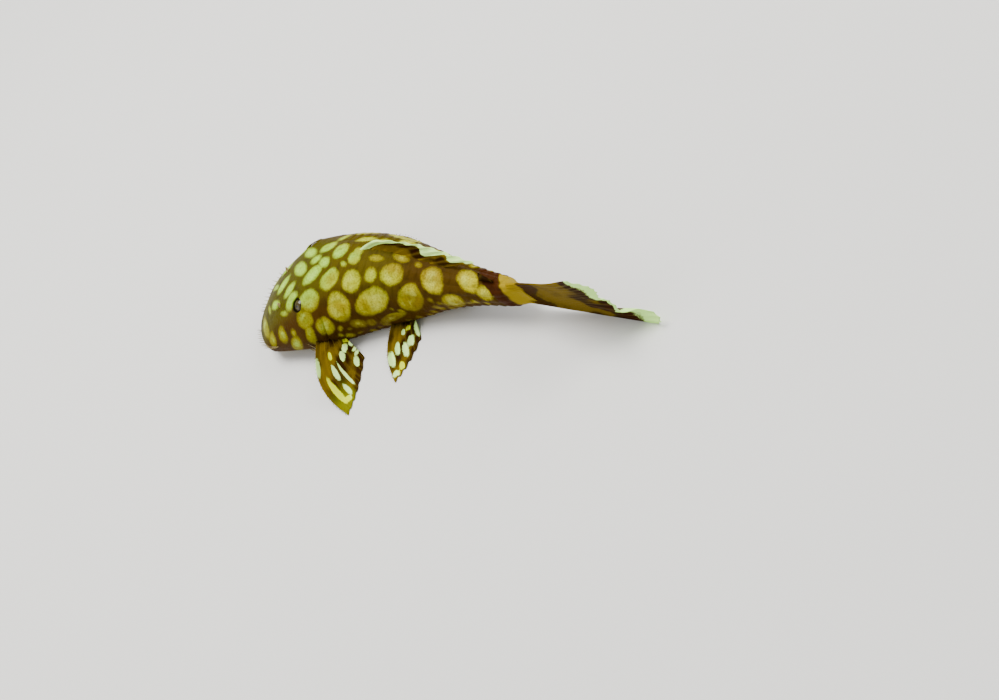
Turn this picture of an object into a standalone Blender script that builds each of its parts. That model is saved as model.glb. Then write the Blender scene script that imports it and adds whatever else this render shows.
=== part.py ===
"""Bristlenose pleco: a life-size still model of a young armoured catfish that lies on its belly.

The fish faces -X, its left side is -Y, and the floor is z = 0. Lengths are metres. Places along the
body are fractions of the standard length, from 0 at the snout to 1 at the root of the tail fin.
"""
import math

import bmesh
import bpy
import numpy as np
from mathutils import Matrix, Vector

# Driving sizes
STANDARD_LENGTH = 0.072
GAP = 0.0003
ORIGIN_STATION = 0.45
NOSE_LENGTH = 0.075
NOSE_HEIGHT = 0.042

# The body's outline at a few stations, as fractions of the standard length
STATION = (0.0, 0.06, 0.12, 0.20, 0.30, 0.38, 0.46, 0.56, 0.66, 0.76, 0.86, 0.94, 1.0, 1.1)
HALF_WIDTH = (0.10, 0.127, 0.147, 0.163, 0.166, 0.151, 0.135, 0.112, 0.086, 0.062, 0.044, 0.034, 0.029, 0.027)
TOP = (0.054, 0.086, 0.120, 0.154, 0.181, 0.191, 0.193, 0.183, 0.165, 0.149, 0.138, 0.133, 0.132, 0.134)
BOTTOM = (0.020, 0.020, 0.020, 0.019, 0.004, -0.004, -0.004, -0.003, 0.004, 0.026, 0.038, 0.038, 0.034, 0.03)
WIDEST_AT = (0.040, 0.044, 0.048, 0.052, 0.054, 0.054, 0.054, 0.056, 0.062, 0.078, 0.088, 0.090, 0.088, 0.086)

# The pose: how fast the centre line turns, in radians per standard length, and the tail's lean
BEND_STATION = (-0.1, 0.20, 0.35, 0.60, 0.75, 1.0, 1.4)
BEND_RATE = (0.60, 0.60, 0.97, 0.97, -0.05, -0.05, 0.10)
TAIL_LEAN = math.radians(-13)
TAIL_LEAN_START = 0.70
TAIL_LEAN_LENGTH = 0.45
TAIL_LEAN_HEIGHT = 0.075

# Where the body is parted, and how far the cuts lean back at the top
HEAD_CUT = 0.32
CUT_LEAN = 0.055

# The armour: plates in rows along the flank, and how the body's rings and columns follow them
PLATE_ROWS = 5
PLATE_COUNT = 24
TRUNK_PLATES = 14
TRUNK_CUT = HEAD_CUT + TRUNK_PLATES * (1 - HEAD_CUT) / PLATE_COUNT
PLATE_LIFT = 0.00030
KEEL_LIFT = 0.00016
PLATE_CREST = 0.86
PLATE_STEPS = (0.0, 0.50, PLATE_CREST)
ARMOUR_EDGE_TRUNK = math.radians(128)
ARMOUR_EDGE_TAIL = math.radians(166)
STEPS_PER_ROW = 3
BELLY_STEPS = 4
NOSE_RINGS = 7
HEAD_RINGS = 13
HALF_GAP = GAP / 2 / STANDARD_LENGTH

# The head's small parts
EYE_COLUMN = 0.234
EYE_ANGLE = 0.63
EYE_RADIUS = 0.0019
EYE_SHOWS = 0.00065
NOSTRIL_COLUMN = 0.150
NOSTRIL_ANGLE = 0.36
NOSTRIL_RADIUS = 0.00075
BRISTLES = 7
BRISTLE_LENGTH = 0.0016
CHEEK_SPINES = 5
HORN_RINGS = 4
HORN_SINK = 0.0009
UP = np.array([0.0, 0.0, 1.0])

# The sucking mouth: its middle and half sizes, and its profile as (share of its size, height)
MOUTH_STATION = 0.120
MOUTH_LENGTH = 0.082
MOUTH_WIDTH = 0.080
MOUTH_SIDES = 40
MOUTH_PROFILE = (
    (0.40, 0.00110),
    (0.84, 0.00108),
    (0.97, 0.00072),
    (1.00, 0.00034),
    (0.95, 0.0),
    (0.66, 0.0),
    (0.54, 0.00045),
    (0.22, 0.00060),
)
TOOTH_ROWS = (((0.100, 0.006), (0.092, 0.034)), ((0.120, 0.006), (0.130, 0.034)))

# The fins: thickness of the skin between the rays, height of the rays on it, and each fin's places
MEMBRANE = 0.00052
RAY_RIDGE = 0.00036
FIN_SPINE = 0.00125
STEPS_PER_RAY = 3
FIN_ROWS = 9
FLOOR_SNAP = 0.0001
FIN_BULGE = 0.07
FIN_SWING = 1.6
FLOOR_SHARE = 0.86
PECTORAL_RAYS = 7
PECTORAL_ROOT = {"left": ((0.252, 0.302), (0.120, 0.112)), "right": ((0.252, 0.302), (0.140, 0.134))}
PECTORAL_REACH = {"left": ((0.470, 0.380), (0.438, 0.200)), "right": ((0.520, 0.146), (0.455, 0.126))}
PECTORAL_SWING = {"left": (0.066, 0.020), "right": (0.0, 0.040)}
PECTORAL_HEIGHTS = {"left": (0.048, 0.034), "right": (0.026, 0.026)}
PELVIC_RAYS = 6
PELVIC_ROOT = {"left": ((0.512, 0.580), (0.062, 0.060)), "right": ((0.515, 0.552), (0.084, 0.084))}
PELVIC_REACH = {"left": ((0.639, 0.272), (0.651, 0.136)), "right": ((0.695, 0.078), (0.655, 0.066))}
PELVIC_SWING = {"left": (0.030, 0.008), "right": (0.0, 0.028)}
PELVIC_HEIGHTS = (0.014, 0.012)
FIN_SINK = 0.024
DORSAL_RAYS = 8
DORSAL_SPINE = 0.0010
DORSAL_ROOT = (0.440, 0.700)
DORSAL_TIP = (0.578, 0.894)
DORSAL_RISE = (0.042, 0.034)
DORSAL_SIDE = (-0.023, -0.027)
DORSAL_BOW = (-0.018, 0.004)
ADIPOSE_ROOT = (0.880, 0.935)
ADIPOSE_TIP = (0.932, 0.950)
ADIPOSE_RISE = (0.046, 0.010)
EDGE_RAY = 0.0004
ANAL_RAYS = 5
ANAL_ROOT = (0.672, 0.708)
ANAL_TIP = (0.762, 0.802)
ANAL_HEIGHT = (0.0062, 0.0222)
TAIL_RAYS = 16
TAIL_ROWS = (0.0, 0.05, 0.11, 0.19, 0.32, 0.48, 0.66, 0.84, 1.0)
TAIL_ROOT = (0.0385, 0.1355)
TAIL_ROOT_FADE = 0.11
TAIL_TOP = 0.222
TAIL_ACROSS = (0.0, 0.08, 0.16, 0.26, 0.36, 0.50, 0.64, 0.76, 0.88, 1.0)
TAIL_EDGE = (1.380, 1.400, 1.398, 1.362, 1.322, 1.299, 1.303, 1.313, 1.301, 1.262)
TAIL_SAG = 0.018


def smooth_profile(part, stations, values):
    """A smooth curve through a few values: cubic pieces whose slopes are those of the neighbours."""
    stations = np.asarray(stations, float)
    values = np.asarray(values, float)
    slopes = np.gradient(values, stations)
    part = np.clip(np.asarray(part, float), stations[0], stations[-1])
    i = np.clip(np.searchsorted(stations, part, side="right") - 1, 0, len(stations) - 2)
    step = stations[i + 1] - stations[i]
    t = (part - stations[i]) / step
    return (
        values[i] * (1 + 2 * t) * (1 - t) ** 2
        + slopes[i] * step * t * (1 - t) ** 2
        + values[i + 1] * t * t * (3 - 2 * t)
        + slopes[i + 1] * step * t * t * (t - 1)
    )


def spine_table():
    """The bent centre line: station, x, y and heading of samples along it, by adding up the bend."""
    station = np.linspace(-0.1, 1.5, 801)
    bend = np.interp(station, BEND_STATION, BEND_RATE)
    step = np.diff(station)

    def running_sum(rate):
        return np.concatenate([[0.0], np.cumsum((rate[1:] + rate[:-1]) / 2 * step)])

    heading = running_sum(bend)
    heading -= np.interp(ORIGIN_STATION, station, heading)
    x = running_sum(np.cos(heading))
    y = running_sum(-np.sin(heading))
    x -= np.interp(ORIGIN_STATION, station, x)
    y -= np.interp(ORIGIN_STATION, station, y)
    return station, x, y, heading


SPINE = spine_table()


def place(part, left, height):
    """World points of places on the fish: station, distance to its left and height, as fractions of
    the standard length. Behind the dorsal fin the body leans, as the tail does."""
    part, left, height = np.broadcast_arrays(*(np.asarray(v, float) for v in (part, left, height)))
    station, x, y, heading = SPINE
    turn = np.interp(part, station, heading)
    lean = TAIL_LEAN * np.clip((part - TAIL_LEAN_START) / TAIL_LEAN_LENGTH, 0, 1)
    rise = height - TAIL_LEAN_HEIGHT
    side = left * np.cos(lean) - rise * np.sin(lean)
    forward = np.interp(part, station, x) - np.sin(turn) * side
    across = np.interp(part, station, y) - np.cos(turn) * side
    up = TAIL_LEAN_HEIGHT + left * np.sin(lean) + rise * np.cos(lean)
    return STANDARD_LENGTH * np.stack([forward, across, up], axis=-1)


def section(part, angle):
    """The body's cross-section: distance to the left and height at an angle from the back's ridge.
    The upper half is near an ellipse, the lower half is squarer, and the nose is rounded off."""
    nose = np.sqrt(np.clip(1 - (1 - np.clip(part / NOSE_LENGTH, 0, 1)) ** 2, 0, 1))
    half_width = smooth_profile(part, STATION, HALF_WIDTH) * nose
    widest = smooth_profile(part, STATION, WIDEST_AT)
    top = smooth_profile(part, STATION, TOP)
    bottom = smooth_profile(part, STATION, BOTTOM)
    widest, top, bottom = (NOSE_HEIGHT + (v - NOSE_HEIGHT) * nose for v in (widest, top, bottom))
    upper = np.cos(angle) > 0
    power = np.where(upper, 0.94, np.interp(part, (0.0, 0.6, 0.8), (0.62, 0.62, 0.86)))
    across = np.sign(np.sin(angle)) * half_width * np.abs(np.sin(angle)) ** power
    rise = np.where(upper, top - widest, widest - bottom)
    return across, widest + np.sign(np.cos(angle)) * rise * np.abs(np.cos(angle)) ** power


def armour_edge(part):
    """The angle at which the plates end and the bare belly starts."""
    return np.interp(part, (0.50, 0.70), (ARMOUR_EDGE_TRUNK, ARMOUR_EDGE_TAIL))


def plate_relief(column, angle):
    """How far the armour stands out: each plate rises to its rear edge, and each row has a low keel."""
    away = np.abs((angle + math.pi) % (2 * math.pi) - math.pi)
    across = away / armour_edge(column) * PLATE_ROWS
    armoured = np.clip((PLATE_ROWS - across) * 4, 0, 1) * np.clip((column - HEAD_CUT) / 0.03, 0, 1)
    along = (column - HEAD_CUT) / (1 - HEAD_CUT) * PLATE_COUNT
    share = along % 1
    ramp = np.where(share < PLATE_CREST, share / PLATE_CREST, (1 - share) / (1 - PLATE_CREST))
    keel = np.sin(math.pi * (across % 1)) ** 2
    return armoured * (PLATE_LIFT * ramp * (0.35 + 0.65 * keel) + KEEL_LIFT * keel)


def head_relief(column, angle):
    """Low forms of the head: a swelling round each eye and the cheek in front of the gill slit."""
    away = np.abs((angle + math.pi) % (2 * math.pi) - math.pi)
    orbit = np.exp(-(((column - EYE_COLUMN) / 0.045) ** 2) - ((away - EYE_ANGLE) / 0.26) ** 2)
    cheek = np.exp(-(((column - 0.235) / 0.05) ** 2) - ((away - 1.42) / 0.30) ** 2)
    return 0.0007 * orbit + 0.0005 * cheek


def body_points(column, angle, grow=0.0):
    """World points of the skin. Columns lean back at the top round the head cut, as the gill cover does,
    and the relief and the growth push each point out, square to its cross-section."""
    column, angle = np.broadcast_arrays(np.asarray(column, float), np.asarray(angle, float))
    lean = CUT_LEAN * np.interp(column, (0.05, HEAD_CUT, 0.55, TRUNK_CUT), (0, 1, 0.35, 0))
    part = column + lean * np.cos(angle)
    left, height = section(part, angle)
    small = 1e-3
    left_1, height_1 = section(part, angle - small)
    left_2, height_2 = section(part, angle + small)
    out_left, out_up = height_1 - height_2, left_2 - left_1
    size = np.maximum(np.hypot(out_left, out_up), 1e-9)
    push = (grow + plate_relief(column, angle) + head_relief(column, angle)) / STANDARD_LENGTH
    points = place(part, left + push * out_left / size, height + push * out_up / size)
    if grow == 0.0:
        points[..., 2] = np.maximum(points[..., 2], 0.0)
    return points


def new_object(name, points, faces, collection):
    """A mesh object from points and triangles, its normals turned outwards."""
    mesh = bpy.data.meshes.new(name)
    mesh.from_pydata([tuple(p) for p in points], [], [tuple(int(i) for i in f) for f in faces])
    made = bmesh.new()
    made.from_mesh(mesh)
    bmesh.ops.recalc_face_normals(made, faces=made.faces)
    if made.calc_volume(signed=True) < 0:
        bmesh.ops.reverse_faces(made, faces=made.faces)
    made.to_mesh(mesh)
    made.free()
    obj = bpy.data.objects.new(name, mesh)
    collection.objects.link(obj)
    return obj


def loft(name, rings, collection):
    """One closed tube through rings of equal count, each end capped by a fan round its middle."""
    rings = np.asarray(rings)
    count, around = rings.shape[:2]
    ring, spot = np.meshgrid(np.arange(count - 1), np.arange(around), indexing="ij")
    a, b = ring * around + spot, ring * around + (spot + 1) % around
    c, d = b + around, a + around
    sides = [np.stack([a, b, c], -1).reshape(-1, 3), np.stack([a, c, d], -1).reshape(-1, 3)]
    points = np.concatenate([rings.reshape(-1, 3), rings[:1].mean(1), rings[-1:].mean(1)])
    spot = np.arange(around)
    nxt = (spot + 1) % around
    end = (count - 1) * around
    front = np.stack([nxt, spot, np.full(around, count * around)], -1)
    rear = np.stack([end + spot, end + nxt, np.full(around, count * around + 1)], -1)
    return new_object(name, points, np.concatenate([*sides, front, rear]), collection)


def sheet(name, middle, thick, collection, through=None):
    """A thin closed solid round a grid of points, split into the same triangles on both faces. Its
    thickness runs square to the grid, or through it in the given direction. What comes down to the
    floor is flattened on it."""
    if through is None:
        through = np.cross(np.gradient(middle, axis=0), np.gradient(middle, axis=1))
        through /= np.linalg.norm(through, axis=-1, keepdims=True)
    half = through * thick[..., None] / 2
    points = np.concatenate([(middle + half).reshape(-1, 3), (middle - half).reshape(-1, 3)])
    points[:, 2] = np.where(points[:, 2] < FLOOR_SNAP, 0.0, points[:, 2])
    rows, columns = middle.shape[:2]
    index = np.arange(rows * columns).reshape(rows, columns)
    a, b, c, d = index[:-1, :-1], index[1:, :-1], index[1:, 1:], index[:-1, 1:]
    one = np.concatenate([np.stack([a, b, c], -1).reshape(-1, 3), np.stack([a, c, d], -1).reshape(-1, 3)])
    edge = np.concatenate([index[:-1, 0], index[-1, :-1], index[:0:-1, -1], index[0, :0:-1]])
    nxt = np.roll(edge, -1)
    other = rows * columns
    wall = [np.stack([edge, edge + other, nxt + other], -1), np.stack([edge, nxt + other, nxt], -1)]
    return new_object(name, points, np.concatenate([one, one[:, ::-1] + other, *wall]), collection)


def ring_angles(column):
    """Angles round the body at a column: three steps to each plate row on both flanks, then the belly."""
    edge = armour_edge(column)
    flank = edge * np.arange(PLATE_ROWS * STEPS_PER_ROW + 1) / (PLATE_ROWS * STEPS_PER_ROW)
    belly = edge + (math.pi - edge) * np.arange(1, BELLY_STEPS + 1) / BELLY_STEPS
    left = np.concatenate([flank, belly])
    return np.concatenate([left, -left[-2:0:-1]])


def body_rings(columns, grow=0.0):
    """The skin's rings at these columns."""
    return [body_points(column, ring_angles(column), grow) for column in columns]


def plate_columns(first, last):
    """Columns from one plate to another: each plate's front, middle and rear edge."""
    along = np.arange(first, last)[:, None] + np.array(PLATE_STEPS)
    return HEAD_CUT + along.ravel() * (1 - HEAD_CUT) / PLATE_COUNT


def head_columns():
    """Columns of the head, closer together round the nose."""
    turn = np.radians(np.linspace(14, 90, NOSE_RINGS))
    nose = NOSE_LENGTH * (1 - np.cos(turn))
    return np.concatenate([nose, np.linspace(1.2 * NOSE_LENGTH, HEAD_CUT - 0.012, HEAD_RINGS)])


def surface_frame(column, angle):
    """A point of the skin with the directions out of it and towards the tail."""
    small = 1e-3
    point = body_points(column, angle)
    along = body_points(column + small, angle) - body_points(column - small, angle)
    around = body_points(column, angle + small) - body_points(column, angle - small)
    out = np.cross(along, around)
    out /= np.linalg.norm(out)
    if out @ (point - place(column, 0, WIDEST_AT[4])) < 0:
        out = -out
    return point, out, along / np.linalg.norm(along)


def horn(name, root, out, along, length, radius, tip_radius, droop, sides, collection):
    """A tapered round horn that starts inside the skin and bends towards a second direction."""
    out = out / np.linalg.norm(out)
    share = np.linspace(0, 1, HORN_RINGS)
    reach = share * (length + HORN_SINK) - HORN_SINK
    path = root + np.outer(reach, out) + np.outer(droop * share**2, along)
    tangent = np.gradient(path, axis=0)
    tangent /= np.linalg.norm(tangent, axis=1, keepdims=True)
    side = np.cross(tangent, along + 0.3 * out)
    side /= np.linalg.norm(side, axis=1, keepdims=True)
    other = np.cross(tangent, side)
    turn = 2 * math.pi * np.arange(sides) / sides
    size = radius + (tip_radius - radius) * share**1.4
    rings = path[:, None] + size[:, None, None] * (
        np.cos(turn)[None, :, None] * side[:, None] + np.sin(turn)[None, :, None] * other[:, None]
    )
    return loft(name, rings, collection)


def round_piece(name, place_at, out, radius, length, sides, collection, tip_scale=1.0):
    """A closed cylinder or cone centred at a point and standing along a direction."""
    made = bmesh.new()
    sizes = {"radius1": radius, "radius2": radius * tip_scale, "depth": length}
    bmesh.ops.create_cone(made, cap_ends=True, cap_tris=True, segments=sides, **sizes)
    mesh = bpy.data.meshes.new(name)
    turn = Vector(out).to_track_quat("Z", "Y").to_matrix().to_4x4()
    made.transform(Matrix.Translation(Vector(place_at)) @ turn)
    made.to_mesh(mesh)
    made.free()
    obj = bpy.data.objects.new(name, mesh)
    collection.objects.link(obj)
    return obj


def ball(name, centre, radius, columns, rows, collection):
    """A closed round ball."""
    made = bmesh.new()
    bmesh.ops.create_uvsphere(made, u_segments=columns, v_segments=rows, radius=radius)
    made.transform(Matrix.Translation(Vector(centre)))
    mesh = bpy.data.meshes.new(name)
    made.to_mesh(mesh)
    made.free()
    obj = bpy.data.objects.new(name, mesh)
    collection.objects.link(obj)
    return obj


def new_collection(name):
    """A collection linked to the scene."""
    made = bpy.data.collections.new(name)
    bpy.context.scene.collection.children.link(made)
    return made


def keep_largest(obj):
    """Drops every loose scrap that a Boolean leaves beside the piece."""
    made = bmesh.new()
    made.from_mesh(obj.data)
    left = set(made.faces)
    groups = []
    while left:
        group, edge = set(), [left.pop()]
        while edge:
            face = edge.pop()
            group.add(face)
            near = {f for e in face.edges for f in e.link_faces} & left
            left -= near
            edge.extend(near)
        groups.append(group)
    groups.sort(key=lambda group: sum(face.calc_area() for face in group))
    bmesh.ops.delete(made, geom=[face for group in groups[:-1] for face in group], context="FACES")
    bmesh.ops.triangulate(made, faces=made.faces)
    made.to_mesh(obj.data)
    made.free()


def combine(obj, operation, others, solver="EXACT"):
    """Applies one Boolean with all the objects of a collection, then removes them."""
    modifier = obj.modifiers.new(operation.title(), "BOOLEAN")
    modifier.operation = operation
    modifier.operand_type = "COLLECTION"
    modifier.collection = others
    modifier.solver = solver
    graph = bpy.context.evaluated_depsgraph_get()
    mesh = bpy.data.meshes.new_from_object(obj.evaluated_get(graph))
    obj.modifiers.clear()
    obj.data = mesh
    keep_largest(obj)
    for other in list(others.objects):
        bpy.data.objects.remove(other)
    bpy.data.collections.remove(others)


def clear_of_body(obj):
    """Cuts a fin's sunken root back to the skin, less the gap."""
    cutters = new_collection("clearance of " + obj.name)
    columns = np.concatenate([head_columns(), plate_columns(0, PLATE_COUNT)])
    loft("clearance", body_rings(columns, GAP), cutters)
    combine(obj, "DIFFERENCE", cutters, "MANIFOLD")


def ray_grid(root, tip, rays, steps, rows):
    """A fin's middle surface: straight lines from a root curve to a tip curve. Both take the share
    across the fin, from its leading ray to its last, and give station, left and height."""
    across = np.linspace(0, 1, (rays - 1) * steps + 1)
    down = np.asarray(rows)[:, None]
    start = [np.broadcast_to(v, across.shape) for v in root(across)]
    end = [np.broadcast_to(v, across.shape) for v in tip(across)]
    return across, [a + (b - a) * down for a, b in zip(start, end)]


def ray_thickness(across, down, rays, spine, ridge=RAY_RIDGE):
    """A fin's thickness: a thin membrane with a rounded ridge at each ray, finer towards the tips,
    and a stout spine along the leading edge."""
    near = np.abs(across * (rays - 1) - np.round(across * (rays - 1)))
    bump = np.clip(1 - near * 3, 0, 1)[None, :] * ridge * (1 - 0.55 * down)
    lead = np.exp(-(((across * (rays - 1) - 0.2) / 0.3) ** 2))[None, :] * spine * (1 - 0.45 * down)
    return MEMBRANE + np.maximum(bump, lead)


def paired_fin(name, side, shape, rays, heights, collection):
    """A pectoral or pelvic fin: its rays fan from a short root on the flank to a rounded edge between
    the tips of the first and last ray, arch a little, and come down to rest on the floor.
    Its shape is the root, the reach of the tips, and how far the first ray swings forward and out; its
    heights are those of the root and of the arch above the floor."""
    root, reach, (forward, outward) = shape
    root_height, arch = heights

    def start(across):
        return [a + (b - a) * across for a, b in root] + [0]

    def end(across):
        (first, far), (last, near) = reach
        bulge = FIN_BULGE * math.hypot(last - first, near - far) * np.sin(math.pi * across)
        return first + (last - first) * across + bulge, far + (near - far) * across + bulge, 0

    down = np.linspace(0, 1, FIN_ROWS)
    across, (station, left, _) = ray_grid(start, end, rays, STEPS_PER_RAY, down)
    share = down[:, None]
    swing = np.sin(math.pi * share**FIN_SWING) * (1 - across)
    thick = ray_thickness(across, share, rays, FIN_SPINE - MEMBRANE)
    fall = np.clip(share / FLOOR_SHARE, 0, 1)
    lift = root_height * (1 - fall) ** 1.35 + arch * np.sin(math.pi * fall) * (1 - 0.6 * across)
    level = lift + thick / 2 / STANDARD_LENGTH
    middle = place(station - forward * swing, side * (left + outward * swing), level)
    clear_of_body(sheet(name, middle, thick, collection, UP))


def paired_fins(name, side, collection):
    """The big fin behind the gill opening and the smaller one under the belly, on one side."""
    shape = PECTORAL_ROOT[name], PECTORAL_REACH[name], PECTORAL_SWING[name]
    paired_fin("pectoral_fin_" + name, side, shape, PECTORAL_RAYS, PECTORAL_HEIGHTS[name], collection)
    shape = PELVIC_ROOT[name], PELVIC_REACH[name], PELVIC_SWING[name]
    paired_fin("pelvic_fin_" + name, side, shape, PELVIC_RAYS, PELVIC_HEIGHTS, collection)


def dorsal_fin(collection):
    """The back fin, folded down along the back: a low blade of rays that leans to the right."""

    def root(across):
        station = DORSAL_ROOT[0] + (DORSAL_ROOT[1] - DORSAL_ROOT[0]) * across
        return station, 0 * across, smooth_profile(station, STATION, TOP) - FIN_SINK

    def tip(across):
        station = DORSAL_TIP[0] + (DORSAL_TIP[1] - DORSAL_TIP[0]) * across
        bulge = np.sin(math.pi * across)
        left = DORSAL_SIDE[0] + (DORSAL_SIDE[1] - DORSAL_SIDE[0]) * across - 0.009 * bulge
        rise = DORSAL_RISE[0] + (DORSAL_RISE[1] - DORSAL_RISE[0]) * across + 0.004 * bulge
        return station, left, smooth_profile(station, STATION, TOP) + rise

    down = np.linspace(0, 1, FIN_ROWS)
    across, grid = ray_grid(root, tip, DORSAL_RAYS, STEPS_PER_RAY, down)
    bow = np.sin(math.pi * down[:, None]) * (1 - across[None, :]) ** 2
    grid[1], grid[2] = grid[1] + DORSAL_BOW[0] * bow, grid[2] + DORSAL_BOW[1] * bow
    thick = ray_thickness(across, down[:, None], DORSAL_RAYS, DORSAL_SPINE - MEMBRANE, 0.8 * RAY_RIDGE)
    clear_of_body(sheet("dorsal_fin", place(*grid), thick, collection))


def adipose_fin(collection):
    """The small spine and flap on the tail."""

    def root(across):
        station = ADIPOSE_ROOT[0] + (ADIPOSE_ROOT[1] - ADIPOSE_ROOT[0]) * across
        return station, 0 * across, smooth_profile(station, STATION, TOP) - FIN_SINK

    def tip(across):
        station = ADIPOSE_TIP[0] + (ADIPOSE_TIP[1] - ADIPOSE_TIP[0]) * across
        rise = ADIPOSE_RISE[0] + (ADIPOSE_RISE[1] - ADIPOSE_RISE[0]) * across
        return station, 0 * across, smooth_profile(station, STATION, TOP) + rise

    down = np.linspace(0, 1, 5)
    across, grid = ray_grid(root, tip, 2, 4, down)
    lead = np.clip(1 - across * 2.5, 0, 1)[None, :] * (1 - 0.5 * down[:, None])
    clear_of_body(sheet("adipose_fin", place(*grid), MEMBRANE + EDGE_RAY * lead, collection))


def anal_fin(collection):
    """The small fin behind the vent, folded back under the tail."""

    def root(across):
        station = ANAL_ROOT[0] + (ANAL_ROOT[1] - ANAL_ROOT[0]) * across
        return station, 0 * across, smooth_profile(station, STATION, BOTTOM) + FIN_SINK

    def tip(across):
        station = ANAL_TIP[0] + (ANAL_TIP[1] - ANAL_TIP[0]) * across
        return station, 0 * across, ANAL_HEIGHT[0] + (ANAL_HEIGHT[1] - ANAL_HEIGHT[0]) * across

    down = np.linspace(0, 1, 6)
    across, grid = ray_grid(root, tip, ANAL_RAYS, 2, down)
    thick = ray_thickness(across, down[:, None], ANAL_RAYS, 0.7 * EDGE_RAY, 0.6 * RAY_RIDGE)
    clear_of_body(sheet("anal_fin", place(*grid), thick, collection))


def tail_fin(collection):
    """The tail fin: rays from the tail's end, the lower lobe longer and down on the floor."""
    first = 1 + GAP / STANDARD_LENGTH

    def root(across):
        low, high = TAIL_ROOT
        return first + 0 * across, 0 * across, low + (high - low) * across

    def tip(across):
        return smooth_profile(across, TAIL_ACROSS, TAIL_EDGE), 0 * across, TAIL_TOP * across

    down = np.array(TAIL_ROWS)
    across, grid = ray_grid(root, tip, TAIL_RAYS, 2, down)
    from_edge = np.minimum(across, 1 - across) * (TAIL_RAYS - 1)
    edge = np.clip(1 - from_edge / 1.3, 0, 1)[None, :] * (1 - 0.5 * down[:, None])
    thin = ray_thickness(across, down[:, None], TAIL_RAYS, 0.0) + EDGE_RAY * edge
    end_width = 2 * STANDARD_LENGTH * smooth_profile(1.0, STATION, HALF_WIDTH)
    stump = 0.92 * end_width * np.sqrt(1 - (0.94 * (2 * across - 1)) ** 2)
    thick = thin + (stump[None, :] - thin) * np.exp(-((down[:, None] / TAIL_ROOT_FADE) ** 2))
    grid[2] = grid[2] - TAIL_SAG * (1 - across[None, :]) ** 2 * np.sin(math.pi * down[:, None])
    sheet("tail_fin", place(*grid), thick, collection)


def bristle_places():
    """Column, angle and length of the bristles of one side: a row round the edge of the snout, longer
    towards the cheek."""
    for i in range(BRISTLES):
        share = i / (BRISTLES - 1)
        length = BRISTLE_LENGTH * (0.55 + 0.35 * share + 0.10 * (i % 2))
        yield 0.006 + 0.100 * share**1.6, 1.05 + 0.32 * share, length


def head(collection):
    """The head with its eye sockets, nostrils, snout bristles and cheek spines."""
    skin = loft("head", body_rings([*head_columns(), HEAD_CUT - HALF_GAP]), collection)
    extra = new_collection("head extras")
    for side in (-1, 1):
        point, out, along = surface_frame(NOSTRIL_COLUMN, side * NOSTRIL_ANGLE)
        round_piece("nostril rim", point, out - 0.25 * along, NOSTRIL_RADIUS, 0.0018, 12, extra, 0.8)
        for column, angle, length in bristle_places():
            point, out, along = surface_frame(column, side * angle)
            horn("bristle", point, out - 0.5 * along, UP, length, 0.00036, 0.00015, 0.3 * length, 5, extra)
        for i in range(CHEEK_SPINES):
            point, out, along = surface_frame(0.232 + 0.006 * (i % 2), side * (1.52 + 0.075 * i))
            length = 0.0021 + 0.0003 * (i % 3)
            horn("cheek spine", point, out + 1.5 * along, -out, length, 0.00028, 0.00012, 0.0004, 4, extra)
    combine(skin, "UNION", extra)
    pits = new_collection("head pits")
    for side in (-1, 1):
        point, out, along = surface_frame(NOSTRIL_COLUMN, side * NOSTRIL_ANGLE)
        lean = out - 0.25 * along
        round_piece("nostril pit", point + 0.0008 * lean, lean, NOSTRIL_RADIUS * 0.52, 0.0022, 10, pits)
        ball("eye socket", eye_centre(side), EYE_RADIUS + GAP, 20, 12, pits)
    combine(skin, "DIFFERENCE", pits)


def eye_centre(side):
    """The middle of an eyeball, sunk so that only a low dome shows."""
    point, out, _ = surface_frame(EYE_COLUMN, side * EYE_ANGLE)
    return point - (EYE_RADIUS - EYE_SHOWS) * out


def sucker_mouth(collection):
    """The sucking mouth under the snout: a broad lip whose rim lies on the floor round a shallow
    hollow, with two rows of teeth and a feeler at each corner."""
    turn = 2 * math.pi * np.arange(MOUTH_SIDES) / MOUTH_SIDES
    rings = []
    for size, height in MOUTH_PROFILE:
        station = MOUTH_STATION + MOUTH_LENGTH * size * np.cos(turn) * (1 + 0.08 * np.cos(turn))
        rings.append(place(station, MOUTH_WIDTH * size * np.sin(turn), height / STANDARD_LENGTH))
    lips = loft("sucker_mouth", rings, collection)
    extra = new_collection("mouth extras")
    for side in (-1, 1):
        for start, end in TOOTH_ROWS:
            path = [place(a, side * b, 0.0085) for a, b in (start, end)]
            middle, run = (path[0] + path[1]) / 2, path[1] - path[0]
            round_piece("tooth row", middle, run, 0.00022, float(np.linalg.norm(run)), 6, extra)
        root = place(MOUTH_STATION + 0.004, side * (MOUTH_WIDTH - 0.010), 0.0075)
        out = place(MOUTH_STATION + 0.020, side * (MOUTH_WIDTH + 0.015), 0.0075) - root
        out /= np.linalg.norm(out)
        horn("feeler", root, out, np.array([1.0, 0, 0]), 0.0020, 0.00034, 0.00016, 0.0005, 6, extra)
    combine(lips, "UNION", extra)


def material(name, colour, roughness):
    """A plain finish of one colour."""
    made = bpy.data.materials.new(name)
    made.use_nodes = True
    shader = made.node_tree.nodes["Principled BSDF"]
    shader.inputs["Base Color"].default_value = (*colour, 1)
    shader.inputs["Roughness"].default_value = roughness
    return made


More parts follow.
